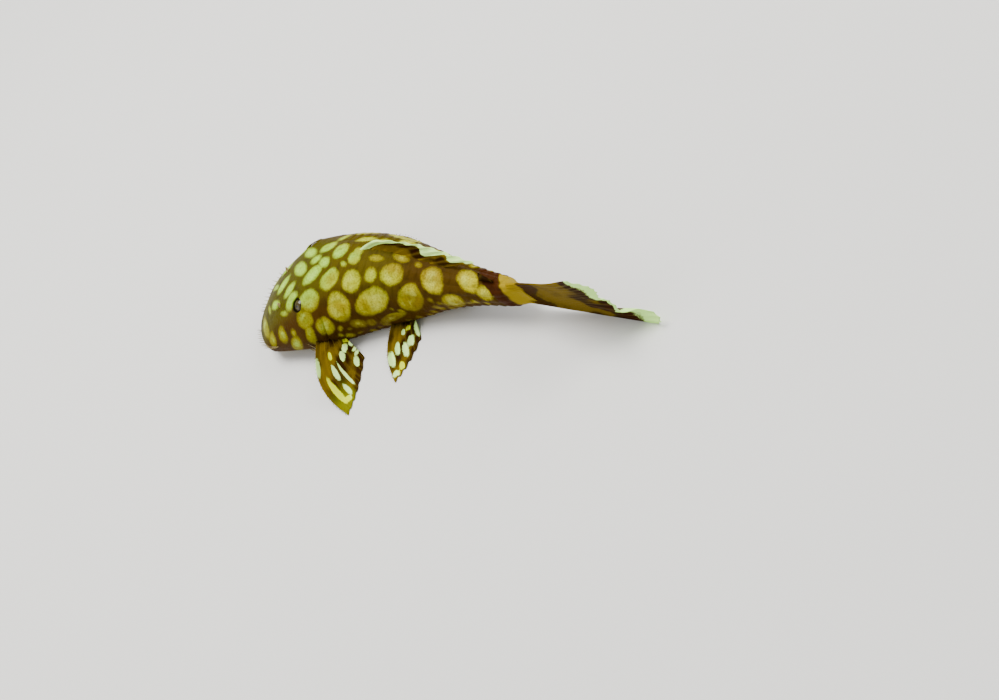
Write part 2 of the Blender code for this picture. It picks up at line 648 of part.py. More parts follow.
def main():
    """Builds every piece of the fish."""
    for obj in list(bpy.data.objects):
        bpy.data.objects.remove(obj)
    fish = new_collection("bristlenose pleco")
    skin = material("spotted skin", (0.16, 0.13, 0.04), 0.5)
    fin = material("banded fin", (0.22, 0.20, 0.09), 0.45)
    lip = material("pale lip", (0.42, 0.36, 0.22), 0.5)
    eye = material("dark eye", (0.03, 0.03, 0.025), 0.12)
    finishes = {"head": skin, "trunk": skin, "tail": skin, "sucker_mouth": lip}

    head(fish)
    trunk_columns = plate_columns(0, TRUNK_PLATES)[1:]
    loft("trunk", body_rings([HEAD_CUT + HALF_GAP, *trunk_columns, TRUNK_CUT - HALF_GAP]), fish)
    tail_columns = plate_columns(TRUNK_PLATES, PLATE_COUNT)[1:]
    loft("tail", body_rings([TRUNK_CUT + HALF_GAP, *tail_columns, 1.0]), fish)
    sucker_mouth(fish)
    for name, side in (("left", 1), ("right", -1)):
        finishes["eye_" + name] = eye
        ball("eye_" + name, eye_centre(side), EYE_RADIUS, 16, 10, fish)
        paired_fins(name, side, fish)
    dorsal_fin(fish)
    adipose_fin(fish)
    anal_fin(fish)
    tail_fin(fish)
    for obj in fish.objects:
        obj.data.materials.clear()
        obj.data.materials.append(finishes.get(obj.name, fin))


main()
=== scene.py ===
# %% [markdown]
# # A bristlenose pleco, dressed as a museum model
# The frame holds the plain solids of a small armoured catfish that lies on its belly. This lesson covers
# them with one fine skin, real fins, eyes, bristles and a sucking mouth, and paints the spots. The solids
# could be shown as they are, but their facets and seams would look like a kit. Here each surface is worked
# out from formulas, so it can be made finer or coarser by changing one number.

import math

import bpy
import numpy as np
from mathutils import Matrix, Vector


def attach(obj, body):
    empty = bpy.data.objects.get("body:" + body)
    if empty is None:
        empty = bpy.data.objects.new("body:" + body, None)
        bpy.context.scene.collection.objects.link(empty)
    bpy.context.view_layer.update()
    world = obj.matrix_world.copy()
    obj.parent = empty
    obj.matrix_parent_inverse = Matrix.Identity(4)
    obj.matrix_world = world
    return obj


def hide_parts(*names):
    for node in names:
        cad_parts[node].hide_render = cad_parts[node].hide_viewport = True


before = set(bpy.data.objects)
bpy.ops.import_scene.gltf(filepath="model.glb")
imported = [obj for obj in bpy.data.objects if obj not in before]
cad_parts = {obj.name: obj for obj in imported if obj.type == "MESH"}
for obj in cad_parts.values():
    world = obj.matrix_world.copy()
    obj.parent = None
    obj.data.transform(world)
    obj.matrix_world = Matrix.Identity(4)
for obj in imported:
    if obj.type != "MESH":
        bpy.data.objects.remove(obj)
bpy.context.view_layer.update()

# %% [markdown]
# ## The measurements
# A fish's body is measured along its standard length, from the snout to the root of the tail fin. Each
# list below gives one measure at the same fourteen stations, as fractions of that length. They could be
# read from the solids, but the same numbers as the solids were built with give a skin that fits exactly
# and is smooth at any fineness.

# %% Sizes of the body
STANDARD_LENGTH = 0.072
MM = 0.001
LENGTH_IN_MM = STANDARD_LENGTH / MM
SIDES = {"left": 1, "right": -1}
UPWARD = np.array([0.0, 0.0, 1.0])
ORIGIN_STATION = 0.45
NOSE_LENGTH = 0.075
NOSE_HEIGHT = 0.042
STATION = (0.0, 0.06, 0.12, 0.20, 0.30, 0.38, 0.46, 0.56, 0.66, 0.76, 0.86, 0.94, 1.0, 1.1)
HALF_WIDTH = (0.10, 0.127, 0.147, 0.163, 0.166, 0.151, 0.135, 0.112, 0.086, 0.062, 0.044, 0.034, 0.029, 0.027)
TOP = (0.054, 0.086, 0.120, 0.154, 0.181, 0.191, 0.193, 0.183, 0.165, 0.149, 0.138, 0.133, 0.132, 0.134)
BOTTOM = (0.020, 0.020, 0.020, 0.019, 0.004, -0.004, -0.004, -0.003, 0.004, 0.026, 0.038, 0.038, 0.034, 0.03)
WIDEST_AT = (0.040, 0.044, 0.048, 0.052, 0.054, 0.054, 0.054, 0.056, 0.062, 0.078, 0.088, 0.090, 0.088, 0.086)
BEND_STATION = (-0.1, 0.20, 0.35, 0.60, 0.75, 1.0, 1.4)
BEND_RATE = (0.60, 0.60, 0.97, 0.97, -0.05, -0.05, 0.10)
TAIL_LEAN = math.radians(-13)
TAIL_LEAN_START, TAIL_LEAN_LENGTH, TAIL_LEAN_HEIGHT = 0.70, 0.45, 0.075
HEAD_CUT, TRUNK_CUT, CUT_LEAN = 0.32, 0.7167, 0.055
PLATE_ROWS, PLATE_COUNT = 5, 24
print("the fish is", LENGTH_IN_MM, "mm long without its tail fin")

# %% [markdown]
# ## A smooth curve through a few values
# Between the stations the body must swell and taper without corners. Straight lines would show as creases
# and one high polynomial would wave, so each gap gets its own cubic whose slopes meet those next to it.

# %% Smooth profiles


def smooth_profile(part, stations, values):
    """Cubic pieces: each value is a blend of the two nearest values and of the slopes there, where a
    slope is the rise over the run between the neighbours."""
    stations, values = np.asarray(stations, float), np.asarray(values, float)
    slopes = np.gradient(values, stations)
    part = np.clip(np.asarray(part, float), stations[0], stations[-1])
    i = np.clip(np.searchsorted(stations, part, side="right") - 1, 0, len(stations) - 2)
    step = stations[i + 1] - stations[i]
    t = (part - stations[i]) / step
    ends = values[i] * (1 + 2 * t) * (1 - t) ** 2 + values[i + 1] * t * t * (3 - 2 * t)
    return ends + step * t * (1 - t) * (slopes[i] * (1 - t) - slopes[i + 1] * t)


def ease(value, low, high):
    """A soft step: 0 below low, 1 above high, and three squares less two cubes of the share between."""
    t = np.clip((value - low) / (high - low), 0, 1)
    return t * t * (3 - 2 * t)


def hump(value, middle, width):
    """A bell: one over e to the square of the distance from the middle, counted in widths."""
    return np.exp(-(((value - middle) / width) ** 2))


half_way = float(smooth_profile(0.5, STATION, HALF_WIDTH)) * LENGTH_IN_MM
print("half way along, the body is", round(2 * half_way, 2), "mm wide")

# %% [markdown]
# ## The pose
# The resting fish curves to its left like a bow. An armature could bend a straight model, but it pinches
# the plates on the inner side. Here the centre line is bent first: its heading is the running sum of how
# fast it turns, and every point of the fish is placed from that line.

# %% The bent centre line


def spine_table():
    """Samples of the centre line: heading is the sum of the bend, and the path is the sum of steps in
    the direction of the heading, both moved so that they are zero at the origin's station."""
    station = np.linspace(-0.1, 1.5, 801)
    bend = np.interp(station, BEND_STATION, BEND_RATE)
    step = np.diff(station)

    def running_sum(rate):
        return np.concatenate([[0.0], np.cumsum((rate[1:] + rate[:-1]) / 2 * step)])

    heading = running_sum(bend)
    heading -= np.interp(ORIGIN_STATION, station, heading)
    x, y = running_sum(np.cos(heading)), running_sum(-np.sin(heading))
    x -= np.interp(ORIGIN_STATION, station, x)
    y -= np.interp(ORIGIN_STATION, station, y)
    return station, x, y, heading


SPINE = spine_table()


def place(part, left, height):
    """World points from station, distance to the fish's left and height: the centre line's point, plus
    the distance to the left, square to the heading. The tail part is first turned about its own axis."""
    part, left, height = np.broadcast_arrays(*(np.asarray(v, float) for v in (part, left, height)))
    station, x, y, heading = SPINE
    turn = np.interp(part, station, heading)
    lean = TAIL_LEAN * np.clip((part - TAIL_LEAN_START) / TAIL_LEAN_LENGTH, 0, 1)
    rise = height - TAIL_LEAN_HEIGHT
    side = left * np.cos(lean) - rise * np.sin(lean)
    forward = np.interp(part, station, x) - np.sin(turn) * side
    across = np.interp(part, station, y) - np.cos(turn) * side
    up = TAIL_LEAN_HEIGHT + left * np.sin(lean) + rise * np.cos(lean)
    return STANDARD_LENGTH * np.stack([forward, across, up], axis=-1)


bend_total = math.degrees(SPINE[3][-1] - SPINE[3][0])
print("the body turns", round(bend_total, 1), "degrees from snout to tail tip")

# %% [markdown]
# ## The camera
# The photograph looks down on the left side from about 41 degrees, with the fish's head to the left and
# the whole animal rolled in the picture. The view was found by moving a camera until the traced outline
# fell on the model's, so it is given here as angles about the animal, a distance and a lens.

# %% Camera in the photograph's place
VIEW_TURN, VIEW_RISE, VIEW_ROLL = 0.965162, 0.711802, 0.816894
VIEW_DISTANCE = 4.1415 * STANDARD_LENGTH
VIEW_SHIFT = (-0.29749 * STANDARD_LENGTH, 0.15071 * STANDARD_LENGTH)
LENS_MM, SENSOR_MM = 54.16, 36.0


def camera_axes():
    """Right, up and forward of the camera: forward looks along the turn and down by the rise, and the
    roll turns right and up about it."""
    turn, rise = VIEW_TURN, VIEW_RISE
    level = np.array([math.cos(turn), math.sin(turn), 0])
    over = np.array([-math.sin(rise) * math.sin(turn), math.sin(rise) * math.cos(turn), math.cos(rise)])
    ahead = np.array([-math.cos(rise) * math.sin(turn), math.cos(rise) * math.cos(turn), -math.sin(rise)])
    c, s = math.cos(VIEW_ROLL), math.sin(VIEW_ROLL)
    return c * level - s * over, s * level + c * over, ahead


right, up, ahead = camera_axes()
eye_point = -VIEW_SHIFT[0] * right - VIEW_SHIFT[1] * up - VIEW_DISTANCE * ahead
lens = bpy.data.cameras.new("camera")
lens.lens = LENS_MM
lens.sensor_width = SENSOR_MM
lens.clip_start = 0.01
camera = bpy.data.objects.new("camera", lens)
turned_and_placed = [[*row, at] for row, at in zip(zip(right, up, -ahead), eye_point)]
camera.matrix_world = Matrix([*turned_and_placed, [0, 0, 0, 1]])
bpy.context.scene.collection.objects.link(camera)
bpy.context.scene.camera = camera
print("the camera stands", round(float(eye_point[2]) * 1000), "mm above the floor")

# %% [markdown]
# ## Meshes from grids
# Everything on the fish is a skin over a grid of points: a tube closed at both ends, or a thin blade with
# two faces. The points come as one array, so no loop walks over vertices, and whatever the paint must
# know, such as the distance to the next spot, is stored on the points as a named mark.

# %% Mesh helpers


def unit(vectors):
    """Vectors of length one: each is divided by the square root of the sum of its squares."""
    return vectors / np.linalg.norm(vectors, axis=-1, keepdims=True)


def turned_out(points, faces):
    """Faces of a closed shape that point outwards: the volume is a sixth of the sum over its triangles
    of the first corner times the cross product of the other two, and a negative one is turned round."""
    volume = 0.0
    for rows in faces:
        corners = points[rows]
        for i in range(1, rows.shape[1] - 1):
            volume += float(np.sum(corners[:, 0] * np.cross(corners[:, i], corners[:, i + 1])))
    return faces if volume > 0 else [rows[:, ::-1] for rows in faces]


def make_mesh(name, points, faces, marks=None):
    """An object at the origin from points, faces and marks of one number per point."""
    mesh = bpy.data.meshes.new(name)
    mesh.from_pydata(points.tolist(), [], [row for rows in faces for row in rows.tolist()])
    for mark, values in (marks or {}).items():
        layer = mesh.attributes.new(mark, "FLOAT", "POINT")
        layer.data.foreach_set("value", np.asarray(values, np.float32).ravel())
    mesh.polygons.foreach_set("use_smooth", np.ones(len(mesh.polygons), bool))
    mesh.update()
    made = bpy.data.objects.new(name, mesh)
    bpy.context.scene.collection.objects.link(made)
    return made


def tube_faces(rings, around, first=0):
    """Corner rows of a tube of rings: quads that wrap round, and a fan to one more point at each end."""
    ring, spot = np.meshgrid(np.arange(rings - 1), np.arange(around), indexing="ij")
    a, b = ring * around + spot, ring * around + (spot + 1) % around
    quads = np.stack([a, b, b + around, a + around], -1).reshape(-1, 4)
    spot = np.arange(around)
    after, end = (spot + 1) % around, (rings - 1) * around
    front = np.stack([after, spot, np.full(around, rings * around)], -1)
    back = np.stack([end + spot, end + after, np.full(around, rings * around + 1)], -1)
    return [quads + first, np.concatenate([front, back]) + first]


def tube(name, grid, marks=None):
    """A closed tube through rings of points. The points that close its ends are the rings' middles."""
    rings, around = grid.shape[:2]

    def closed(values):
        ends = values[[0, -1]].mean(1).reshape(2, -1)
        return np.concatenate([values.reshape(rings * around, -1), ends])

    marks = {mark: closed(values) for mark, values in (marks or {}).items()}
    points = closed(grid)
    return make_mesh(name, points, turned_out(points, tube_faces(rings, around)), marks)


def blade(name, middle, thick, marks=None, through=None):
    """A thin closed solid: half the thickness to each side of a middle grid, square to it or in a given
    direction, and a wall round the rim."""
    if through is None:
        through = unit(np.cross(np.gradient(middle, axis=0), np.gradient(middle, axis=1)))
    half = through * thick[..., None] / 2
    rows, columns = middle.shape[:2]
    points = np.concatenate([(middle + half).reshape(-1, 3), (middle - half).reshape(-1, 3)])
    points[:, 2] = np.maximum(points[:, 2], 0.0)
    index = np.arange(rows * columns).reshape(rows, columns)
    face = np.stack([index[:-1, :-1], index[1:, :-1], index[1:, 1:], index[:-1, 1:]], -1).reshape(-1, 4)
    rim = np.concatenate([index[:-1, 0], index[-1, :-1], index[:0:-1, -1], index[0, :0:-1]])
    after, other = np.roll(rim, -1), rows * columns
    wall = np.stack([rim, rim + other, after + other, after], -1)
    faces = turned_out(points, [face, face[:, ::-1] + other, wall])
    marks = {
        mark: np.tile(np.broadcast_to(values, (rows, columns)).ravel(), 2)
        for mark, values in (marks or {}).items()
    }
    return make_mesh(name, points, faces, marks)


def joined_tubes(name, grids, marks=None):
    """Many small closed tubes of the same fineness as one mesh, with marks of one number per tube point
    given for every tube."""
    count, rings, around = grids.shape[:3]
    each = rings * around + 2
    ends = np.stack([grids[:, 0].mean(1), grids[:, -1].mean(1)], 1)
    points = np.concatenate([grids.reshape(count, -1, 3), ends], 1)
    quads, fans = tube_faces(rings, around)
    quads, fans = turned_out(points[0], [quads, fans])
    shift = (np.arange(count) * each)[:, None, None]
    faces = [(quads + shift).reshape(-1, 4), (fans + shift).reshape(-1, 3)]
    return make_mesh(name, points.reshape(-1, 3), faces, marks)


print("helpers ready")

# %% [markdown]
# ## Writing shader maths
# A pattern is often a sum of masks, which takes many small nodes. Linking them by hand hides the formula,
# so a small class wraps a socket: adding two wrapped sockets adds a Math node. Any other node comes from
# one method that is given its type, its settings and what goes into its sockets.

# %% A finish and its wires


class Wire:
    """One output of a finish's nodes, which can be used in sums."""

    def __init__(self, finish, socket):
        self.finish, self.socket = finish, socket

    def math(self, operation, *values):
        return self.finish.node("ShaderNodeMath", {"operation": operation}, dict(enumerate(values))).out()

    def __add__(self, other):
        return self.math("ADD", self, other)

    def __radd__(self, other):
        return self.math("ADD", other, self)

    def __sub__(self, other):
        return self.math("SUBTRACT", self, other)

    def __rsub__(self, other):
        return self.math("SUBTRACT", other, self)

    def __mul__(self, other):
        return self.math("MULTIPLY", self, other)

    def __rmul__(self, other):
        return self.math("MULTIPLY", other, self)

    def at_least(self, other):
        return self.math("MAXIMUM", self, other)

    def sine(self):
        return self.math("SINE", self)

    def step(self, low, high, down=0.0, top=1.0):
        """A soft step from down, where the value is low, to top, where it is high."""
        settings = {"interpolation_type": "SMOOTHSTEP", "clamp": True}
        sockets = {"Value": self, "From Min": low, "From Max": high, "To Min": down, "To Max": top}
        return self.finish.node("ShaderNodeMapRange", settings, sockets).out()


class Nodes:
    """One node of a finish, whose outputs are wires."""

    def __init__(self, finish, node):
        self.finish, self.made = finish, node

    def out(self, which=0):
        return Wire(self.finish, self.made.outputs[which])


class Finish:
    """A material: a Principled shader, and a method that adds any node before it."""

    def __init__(self, name, roughness=0.5, **fixed):
        self.material = bpy.data.materials.new(name)
        self.material.use_nodes = True
        self.tree = self.material.node_tree
        self.shader = self.tree.nodes["Principled BSDF"]
        self.shader.inputs["Roughness"].default_value = roughness
        for socket, value in fixed.items():
            self.shader.inputs[socket.replace("_", " ")].default_value = value

    def node(self, kind, settings=None, sockets=None):
        """A node of a type: its settings first, then a value or a wire for each socket, by name or number."""
        made = self.tree.nodes.new(kind)
        for name, value in (settings or {}).items():
            setattr(made, name, value)
        for which, value in (sockets or {}).items():
            if isinstance(value, Wire):
                self.tree.links.new(value.socket, made.inputs[which])
            else:
                made.inputs[which].default_value = value
        return Nodes(self, made)

    def mark(self, name):
        """A number that the mesh's points carry."""
        return self.node("ShaderNodeAttribute", {"attribute_name": name}).out("Fac")

    def place(self):
        return self.node("ShaderNodeTexCoord").out("Object")

    def joined(self, x, y, z=0.0):
        return self.node("ShaderNodeCombineXYZ", None, {"X": x, "Y": y, "Z": z}).out()

    def noise(self, size, detail=2.0, at=None):
        """Soft noise whose blobs are about this many millimetres across."""
        sockets = {"Vector": at or self.place(), "Scale": 1 / (size * MM), "Detail": detail}
        return self.node("ShaderNodeTexNoise", None, sockets).out("Fac")

    def cells(self, size, feature="F1", at=None):
        """Distance from the middles of scattered cells, or from the edges between them."""
        sockets = {"Vector": at or self.place(), "Scale": 1 / (size * MM)}
        return self.node("ShaderNodeTexVoronoi", {"feature": feature}, sockets).out("Distance")

    def blend(self, share, below, above):
        """A mix of two colours by a share."""
        sockets = {0: share, 6: below, 7: above}
        return self.node("ShaderNodeMix", {"data_type": "RGBA"}, sockets).out(2)

    def paint(self, **wires):
        """Links wires to the shader's sockets."""
        for socket, wire in wires.items():
            self.tree.links.new(wire.socket, self.shader.inputs[socket.replace("_", " ")])

    def bumps(self, height, depth):
        """A bump of this many millimetres where height is 1."""
        made = self.node("ShaderNodeBump", None, {"Strength": 1.0, "Distance": depth * MM, "Height": height})
        self.tree.links.new(made.out().socket, self.shader.inputs["Normal"])


def tint(red, green, blue):
    """A colour picked on a screen, 0 to 255, as the light it stands for: each part to the power 2.2."""
    return (*[(part / 255) ** 2.2 for part in (red, green, blue)], 1.0)


print("finishes ready")

# %% [markdown]
# ## The body's cross-section
# Seen from the front an armoured catfish is a low arch on a flat belly. Each ring of the skin is that
# arch: the upper half is close to half an ellipse, and the lower half is squarer. Behind the last plates
# the section narrows to a wedge, so that the tail fin grows out of it without a step.

# %% Cross-section
TAIL_WEDGE = (0.955, 1.04)
ARCH_POWER = 0.94
BELLY_POWER = {"at": (0.0, 0.6, 0.8), "power": (0.62, 0.62, 0.86)}
SMALL_STEP = 1e-3


def section(part, angle):
    """Distance to the left and height at an angle from the ridge of the back: half width times the sine
    and height times the cosine, each to a power below one that squares the corners."""
    nose = np.sqrt(np.clip(1 - (1 - np.clip(part / NOSE_LENGTH, 0, 1)) ** 2, 0, 1))
    half_width = smooth_profile(part, STATION, HALF_WIDTH) * nose * (1 - 0.80 * ease(part, *TAIL_WEDGE))
    widest = smooth_profile(part, STATION, WIDEST_AT)
    top = smooth_profile(part, STATION, TOP)
    bottom = smooth_profile(part, STATION, BOTTOM)
    widest, top, bottom = (NOSE_HEIGHT + (v - NOSE_HEIGHT) * nose for v in (widest, top, bottom))
    upper = np.cos(angle) > 0
    power = np.where(upper, ARCH_POWER, np.interp(part, BELLY_POWER["at"], BELLY_POWER["power"]))
    across = np.sign(np.sin(angle)) * half_width * np.abs(np.sin(angle)) ** power
    rise = np.where(upper, top - widest, widest - bottom)
    return across, widest + np.sign(np.cos(angle)) * rise * np.abs(np.cos(angle)) ** power


def station_at(column, angle):
    """The station of a column of the skin. Columns lean back at the top, as the gill cover does."""
    lean = CUT_LEAN * np.interp(column, (0.05, HEAD_CUT, 0.55, TRUNK_CUT), (0, 1, 0.35, 0))
    return column + lean * np.cos(angle)


def smooth_skin(column, angle, push=0.0):
    """Points of the skin, moved out by a push in metres, square to the cross-section: the outward
    direction is the difference of two near points of the section, turned by a right angle."""
    column, angle = np.broadcast_arrays(np.asarray(column, float), np.asarray(angle, float))
    part = station_at(column, angle)
    left, height = section(part, angle)
    left_1, height_1 = section(part, angle - SMALL_STEP)
    left_2, height_2 = section(part, angle + SMALL_STEP)
    out_left, out_up = height_1 - height_2, left_2 - left_1
    size = np.maximum(np.hypot(out_left, out_up), 1e-9)
    share = push / STANDARD_LENGTH
    return place(part, left + share * out_left / size, height + share * out_up / size)


def skin_frame(column, angle):
    """A point of the skin with the direction out of it and the one towards the tail."""
    point = smooth_skin(column, angle)
    along = smooth_skin(column + SMALL_STEP, angle) - smooth_skin(column - SMALL_STEP, angle)
    about = smooth_skin(column, angle + SMALL_STEP) - smooth_skin(column, angle - SMALL_STEP)
    out = unit(np.cross(about, along))
    inside = place(column, 0, WIDEST_AT[4])
    return point, out * np.sign(out @ (point - inside)), unit(along)


ring_half_width = float(section(0.4, math.pi / 2)[0]) * LENGTH_IN_MM
print("one ring at station 0.4 is", round(2 * ring_half_width, 1), "mm wide")

# %% [markdown]
# ## Armour plates
# Instead of scales this family wears rows of bony plates. Each plate overlaps the next one towards the
# tail, so its rear edge stands out and comes to a blunt point on the row's keel. The relief could be a
# bump in the shader, but then the outline would stay smooth, so the skin itself is pushed out.

# %% Plates
PLATE_LIFT, KEEL_LIFT, GROOVE_DEPTH, PLATE_CREST = 0.15, 0.11, 0.06, 0.84
ARMOUR_EDGE = (math.radians(128), math.radians(166))
ARMOUR_END = (0.965, 1.0)
SHUFFLE = (12.9898, 78.233, 43758.5453)


def from_ridge(angle):
    """The angle from the ridge of the back, the same on both sides."""
    return np.abs((angle + math.pi) % (2 * math.pi) - math.pi)


def armour_edge(part):
    """The angle at which the plates end and the bare belly starts."""
    return np.interp(part, (0.50, 0.70), ARMOUR_EDGE)


def plate_relief(column, angle):
    """How far the armour stands out, in mm: each plate is a ramp to its rear edge, which lies further
    back at the keel, and the keel itself is a low ridge along the row. Each plate is a little different:
    its odd share is what is left behind the point of a large number that its row and place give."""
    row = from_ridge(angle) / armour_edge(column) * PLATE_ROWS
    keel = np.sin(math.pi * (row % 1)) ** 2
    along = (column - HEAD_CUT) / (1 - HEAD_CUT) * PLATE_COUNT - 0.30 * keel
    share = along % 1
    ramp = np.where(share < PLATE_CREST, share / PLATE_CREST, 1 - ease(share, PLATE_CREST, 1.0))
    odd = np.sin(np.floor(along) * SHUFFLE[0] + np.floor(row) * SHUFFLE[1]) * SHUFFLE[2] % 1
    here = ease(PLATE_ROWS - row, 0, 0.35) * ease(column, HEAD_CUT, HEAD_CUT + 0.04)
    here = here * (1 - ease(column, *ARMOUR_END))
    groove = hump(np.minimum(row % 1, 1 - row % 1), 0, 0.07)
    plate = PLATE_LIFT * ramp * (0.35 + 0.65 * keel) * (0.75 + 0.5 * odd)
    return here * (plate + KEEL_LIFT * keel - GROOVE_DEPTH * groove)


print(PLATE_ROWS * 2, "rows of", PLATE_COUNT, "plates")

# %% [markdown]
# ## Forms of the head
# The head has no overlapping plates. Its bones give it low swellings: a ring round each eye, a cheek that
# carries spines, and the edge of the gill cover with the slit under it. Pits for eyes and nostrils are
# pressed in by how far a point lies from the line out of each one's middle.

# %% Head forms
EYE_COLUMN, EYE_ANGLE, EYE_RADIUS, EYE_SHOWS = 0.234, 0.63, 1.9, 0.65
NOSTRIL_COLUMN, NOSTRIL_ANGLE = 0.134, 0.38
CHEEK_COLUMN, CHEEK_ANGLE = 0.235, 1.42
BROW_COLUMN, SNOUT_EDGE_ANGLE = 0.10, 1.62
SLIT_COLUMN, COLLAR_COLUMN = HEAD_CUT - 0.004, HEAD_CUT - 0.016
EYE_OPENING = math.sqrt(EYE_RADIUS**2 - (EYE_RADIUS - EYE_SHOWS) ** 2)
EYE_RIM, EYE_PIT, NOSTRIL_RIM, NOSTRIL_PIT = 0.20, 1.1, 0.14, 0.62


def head_relief(column, angle):
    """How far the head's bones swell, in mm: bells round the eye, on the cheek, between the nostrils and
    in front of the gill slit, less the slit and a faint line along the edge of the snout."""
    away = from_ridge(angle)
    orbit = hump(column, EYE_COLUMN, 0.045) * hump(away, EYE_ANGLE, 0.26)
    cheek = hump(column, CHEEK_COLUMN, 0.05) * hump(away, CHEEK_ANGLE, 0.30)
    brow = hump(column, BROW_COLUMN, 0.06) * hump(away, 0.0, 0.22)
    slit = hump(column, SLIT_COLUMN, 0.0035) * ease(away, 0.95, 1.25) * (1 - ease(away, 2.0, 2.3))
    collar = hump(column, COLLAR_COLUMN, 0.009) * ease(away, 0.8, 1.2) * (1 - ease(away, 2.0, 2.4))
    snout_edge = hump(away, SNOUT_EDGE_ANGLE, 0.16) * (1 - ease(column, 0.12, 0.20))
    return 0.7 * orbit + 0.5 * cheek + 0.22 * brow + 0.16 * collar - 0.42 * slit - 0.10 * snout_edge


def from_axis(points, column, angle):
    """Distance in mm of points from the line out of the skin at a place, for points near that place."""
    at, out, _ = skin_frame(column, angle)
    apart = points - at
    depth = apart @ out
    beside = np.linalg.norm(apart - depth[..., None] * out, axis=-1) / MM
    return np.where(np.abs(depth) < 4 * MM, beside, 99.0), out


def press_pits(points):
    """Moves points of the skin in for the eyes and nostrils and out for the rims round them."""
    for side in SIDES.values():
        apart, out = from_axis(points, EYE_COLUMN, side * EYE_ANGLE)
        rim = EYE_RIM * hump(apart, EYE_OPENING + 0.26, 0.22)
        pit = EYE_PIT * (1 - ease(apart, EYE_OPENING - 0.42, EYE_OPENING + 0.06))
        points = points + ((rim - pit) * MM)[..., None] * out
        apart, out = from_axis(points, NOSTRIL_COLUMN, side * NOSTRIL_ANGLE)
        rim = NOSTRIL_RIM * hump(apart, 0.62, 0.20)
        pit = NOSTRIL_PIT * (1 - ease(apart, 0.20, 0.52))
        points = points + ((rim - pit) * MM)[..., None] * out
    return points


print("each eye's opening is", round(2 * EYE_OPENING, 2), "mm across")

# %% [markdown]
# ## Where the spots lie
# A young bristlenose is dark, with large pale spots that leave a net of dark lines between them. A cell
# texture would give a net anywhere, but this animal's spots have their own sizes and places, so they are
# laid out like a painter's plan on the skin laid flat, in mm: along from the snout, round from the ridge
# of the back (left is +), half length, half width, and the tilt in degrees. On the side that the photograph
# hides the low ones are mirrored, a little further back, and the rest are scattered from a fixed seed.

# %% Plan of the spots
HEAD_SPOTS = (
    (17.2, -4.3, 2.09, 1.13, 41),
    (21.6, -4.0, 1.84, 1.36, 166),
    (26.2, -1.8, 2.29, 1.86, 175),
    (15.5, -1.1, 2.77, 1.35, 50),
    (19.5, -1.4, 1.32, 1.04, 5),
    (19.7, 2.3, 2.32, 1.65, 153),
    (22.2, 0.3, 1.70, 1.05, 40),
    (14.8, 5.9, 2.02, 1.80, 11),
    (13.3, 2.8, 1.75, 1.19, 154),
    (10.6, -0.2, 2.08, 1.36, 141),
    (7.2, -2.2, 2.30, 0.65, 43),
    (8.6, 3.2, 1.80, 0.87, 38),
    (12.2, 7.2, 1.21, 0.46, 32),
    (3.9, 4.5, 3.87, 1.01, 64),
    (5.8, 2.1, 1.40, 0.45, 64),
    (10.6, 10.7, 1.99, 1.16, 63),
    (6.7, 9.6, 1.72, 1.09, 75),
    (14.2, 12.0, 0.96, 0.64, 56),
    (13.9, 14.5, 1.87, 1.79, 150),
)
SHOULDER_SPOTS = (
    (25.2, 4.4, 2.86, 2.08, 166),
    (32.3, 5.2, 2.76, 2.20, 1),
    (20.0, 7.6, 2.45, 2.05, 36),
    (28.2, 10.1, 3.41, 2.99, 25),
    (18.2, 10.8, 2.20, 1.67, 36),
    (19.0, 14.2, 2.17, 1.17, 79),
    (23.3, 13.5, 2.36, 1.88, 22),
    (28.9, 1.7, 1.09, 0.51, 18),
    (31.7, -4.6, 2.84, 0.85, 176),
    (31.6, 0.6, 2.00, 1.30, 19),
    (32.1, -0.9, 1.30, 1.00, 0),
    (37.9, 0.4, 2.00, 0.75, 5),
    (44.3, -0.5, 2.30, 0.90, 10),
    (49.4, 0.2, 0.90, 0.45, 10),
)
FLANK_SPOTS = (
    (37.8, 3.8, 1.63, 1.31, 164),
    (43.4, 3.1, 3.02, 2.00, 167),
    (37.6, 9.2, 4.96, 2.65, 154),
    (47.6, 7.3, 3.96, 2.43, 133),
    (53.8, 2.3, 2.61, 2.56, 3),
    (40.8, 13.0, 3.60, 0.89, 156),
    (32.1, 14.3, 1.92, 1.02, 4),
    (62.1, 0.7, 2.77, 1.85, 24),
    (66.2, 2.4, 1.93, 1.48, 159),
    (57.5, 6.1, 2.75, 1.75, 146),
)
SPOT_LINE = 0.72
LOW_FROM, MIRROR_SHIFT = (18, 8), 0.9
FAR_TRIES, FAR_SEED, GAP_TRIES, GAP_SEED = 2500, 7, 1500, 11


def flat_place(column, angle):
    """Where a place lies on the skin laid flat, in mm: along the body, and round from the ridge. The way
    round is the running length of the section's outline."""
    column, angle = np.broadcast_arrays(np.asarray(column, float), np.asarray(angle, float))
    share = np.linspace(0, 1, 49)
    turns = from_ridge(angle)[..., None] * share
    left, height = section(station_at(column[..., None], turns), turns)
    way = np.hypot(np.diff(left, axis=-1), np.diff(height, axis=-1)).sum(-1)
    return np.stack([column, np.sign(angle) * way], -1) * STANDARD_LENGTH / MM


def scattered_spots(known, count, seed, choose):
    """More spots, the large ones first: a seeded place is kept where it leaves the dark line free."""
    chance = np.random.default_rng(seed)
    kept = known.copy()
    for share in np.linspace(0, 1, count):
        column, angle, size, tilt = choose(chance)
        size *= 1.3 - 0.7 * share
        middle = flat_place(column, angle)
        near = np.hypot(*(kept[:, :2] - middle).T) - np.sqrt(kept[:, 2] * kept[:, 3])
        if near.min() > size + SPOT_LINE:
            long = 1 + 0.3 * chance.random()
            kept = np.concatenate([kept, [[*middle, size * long, size / long, tilt]]])
    return kept


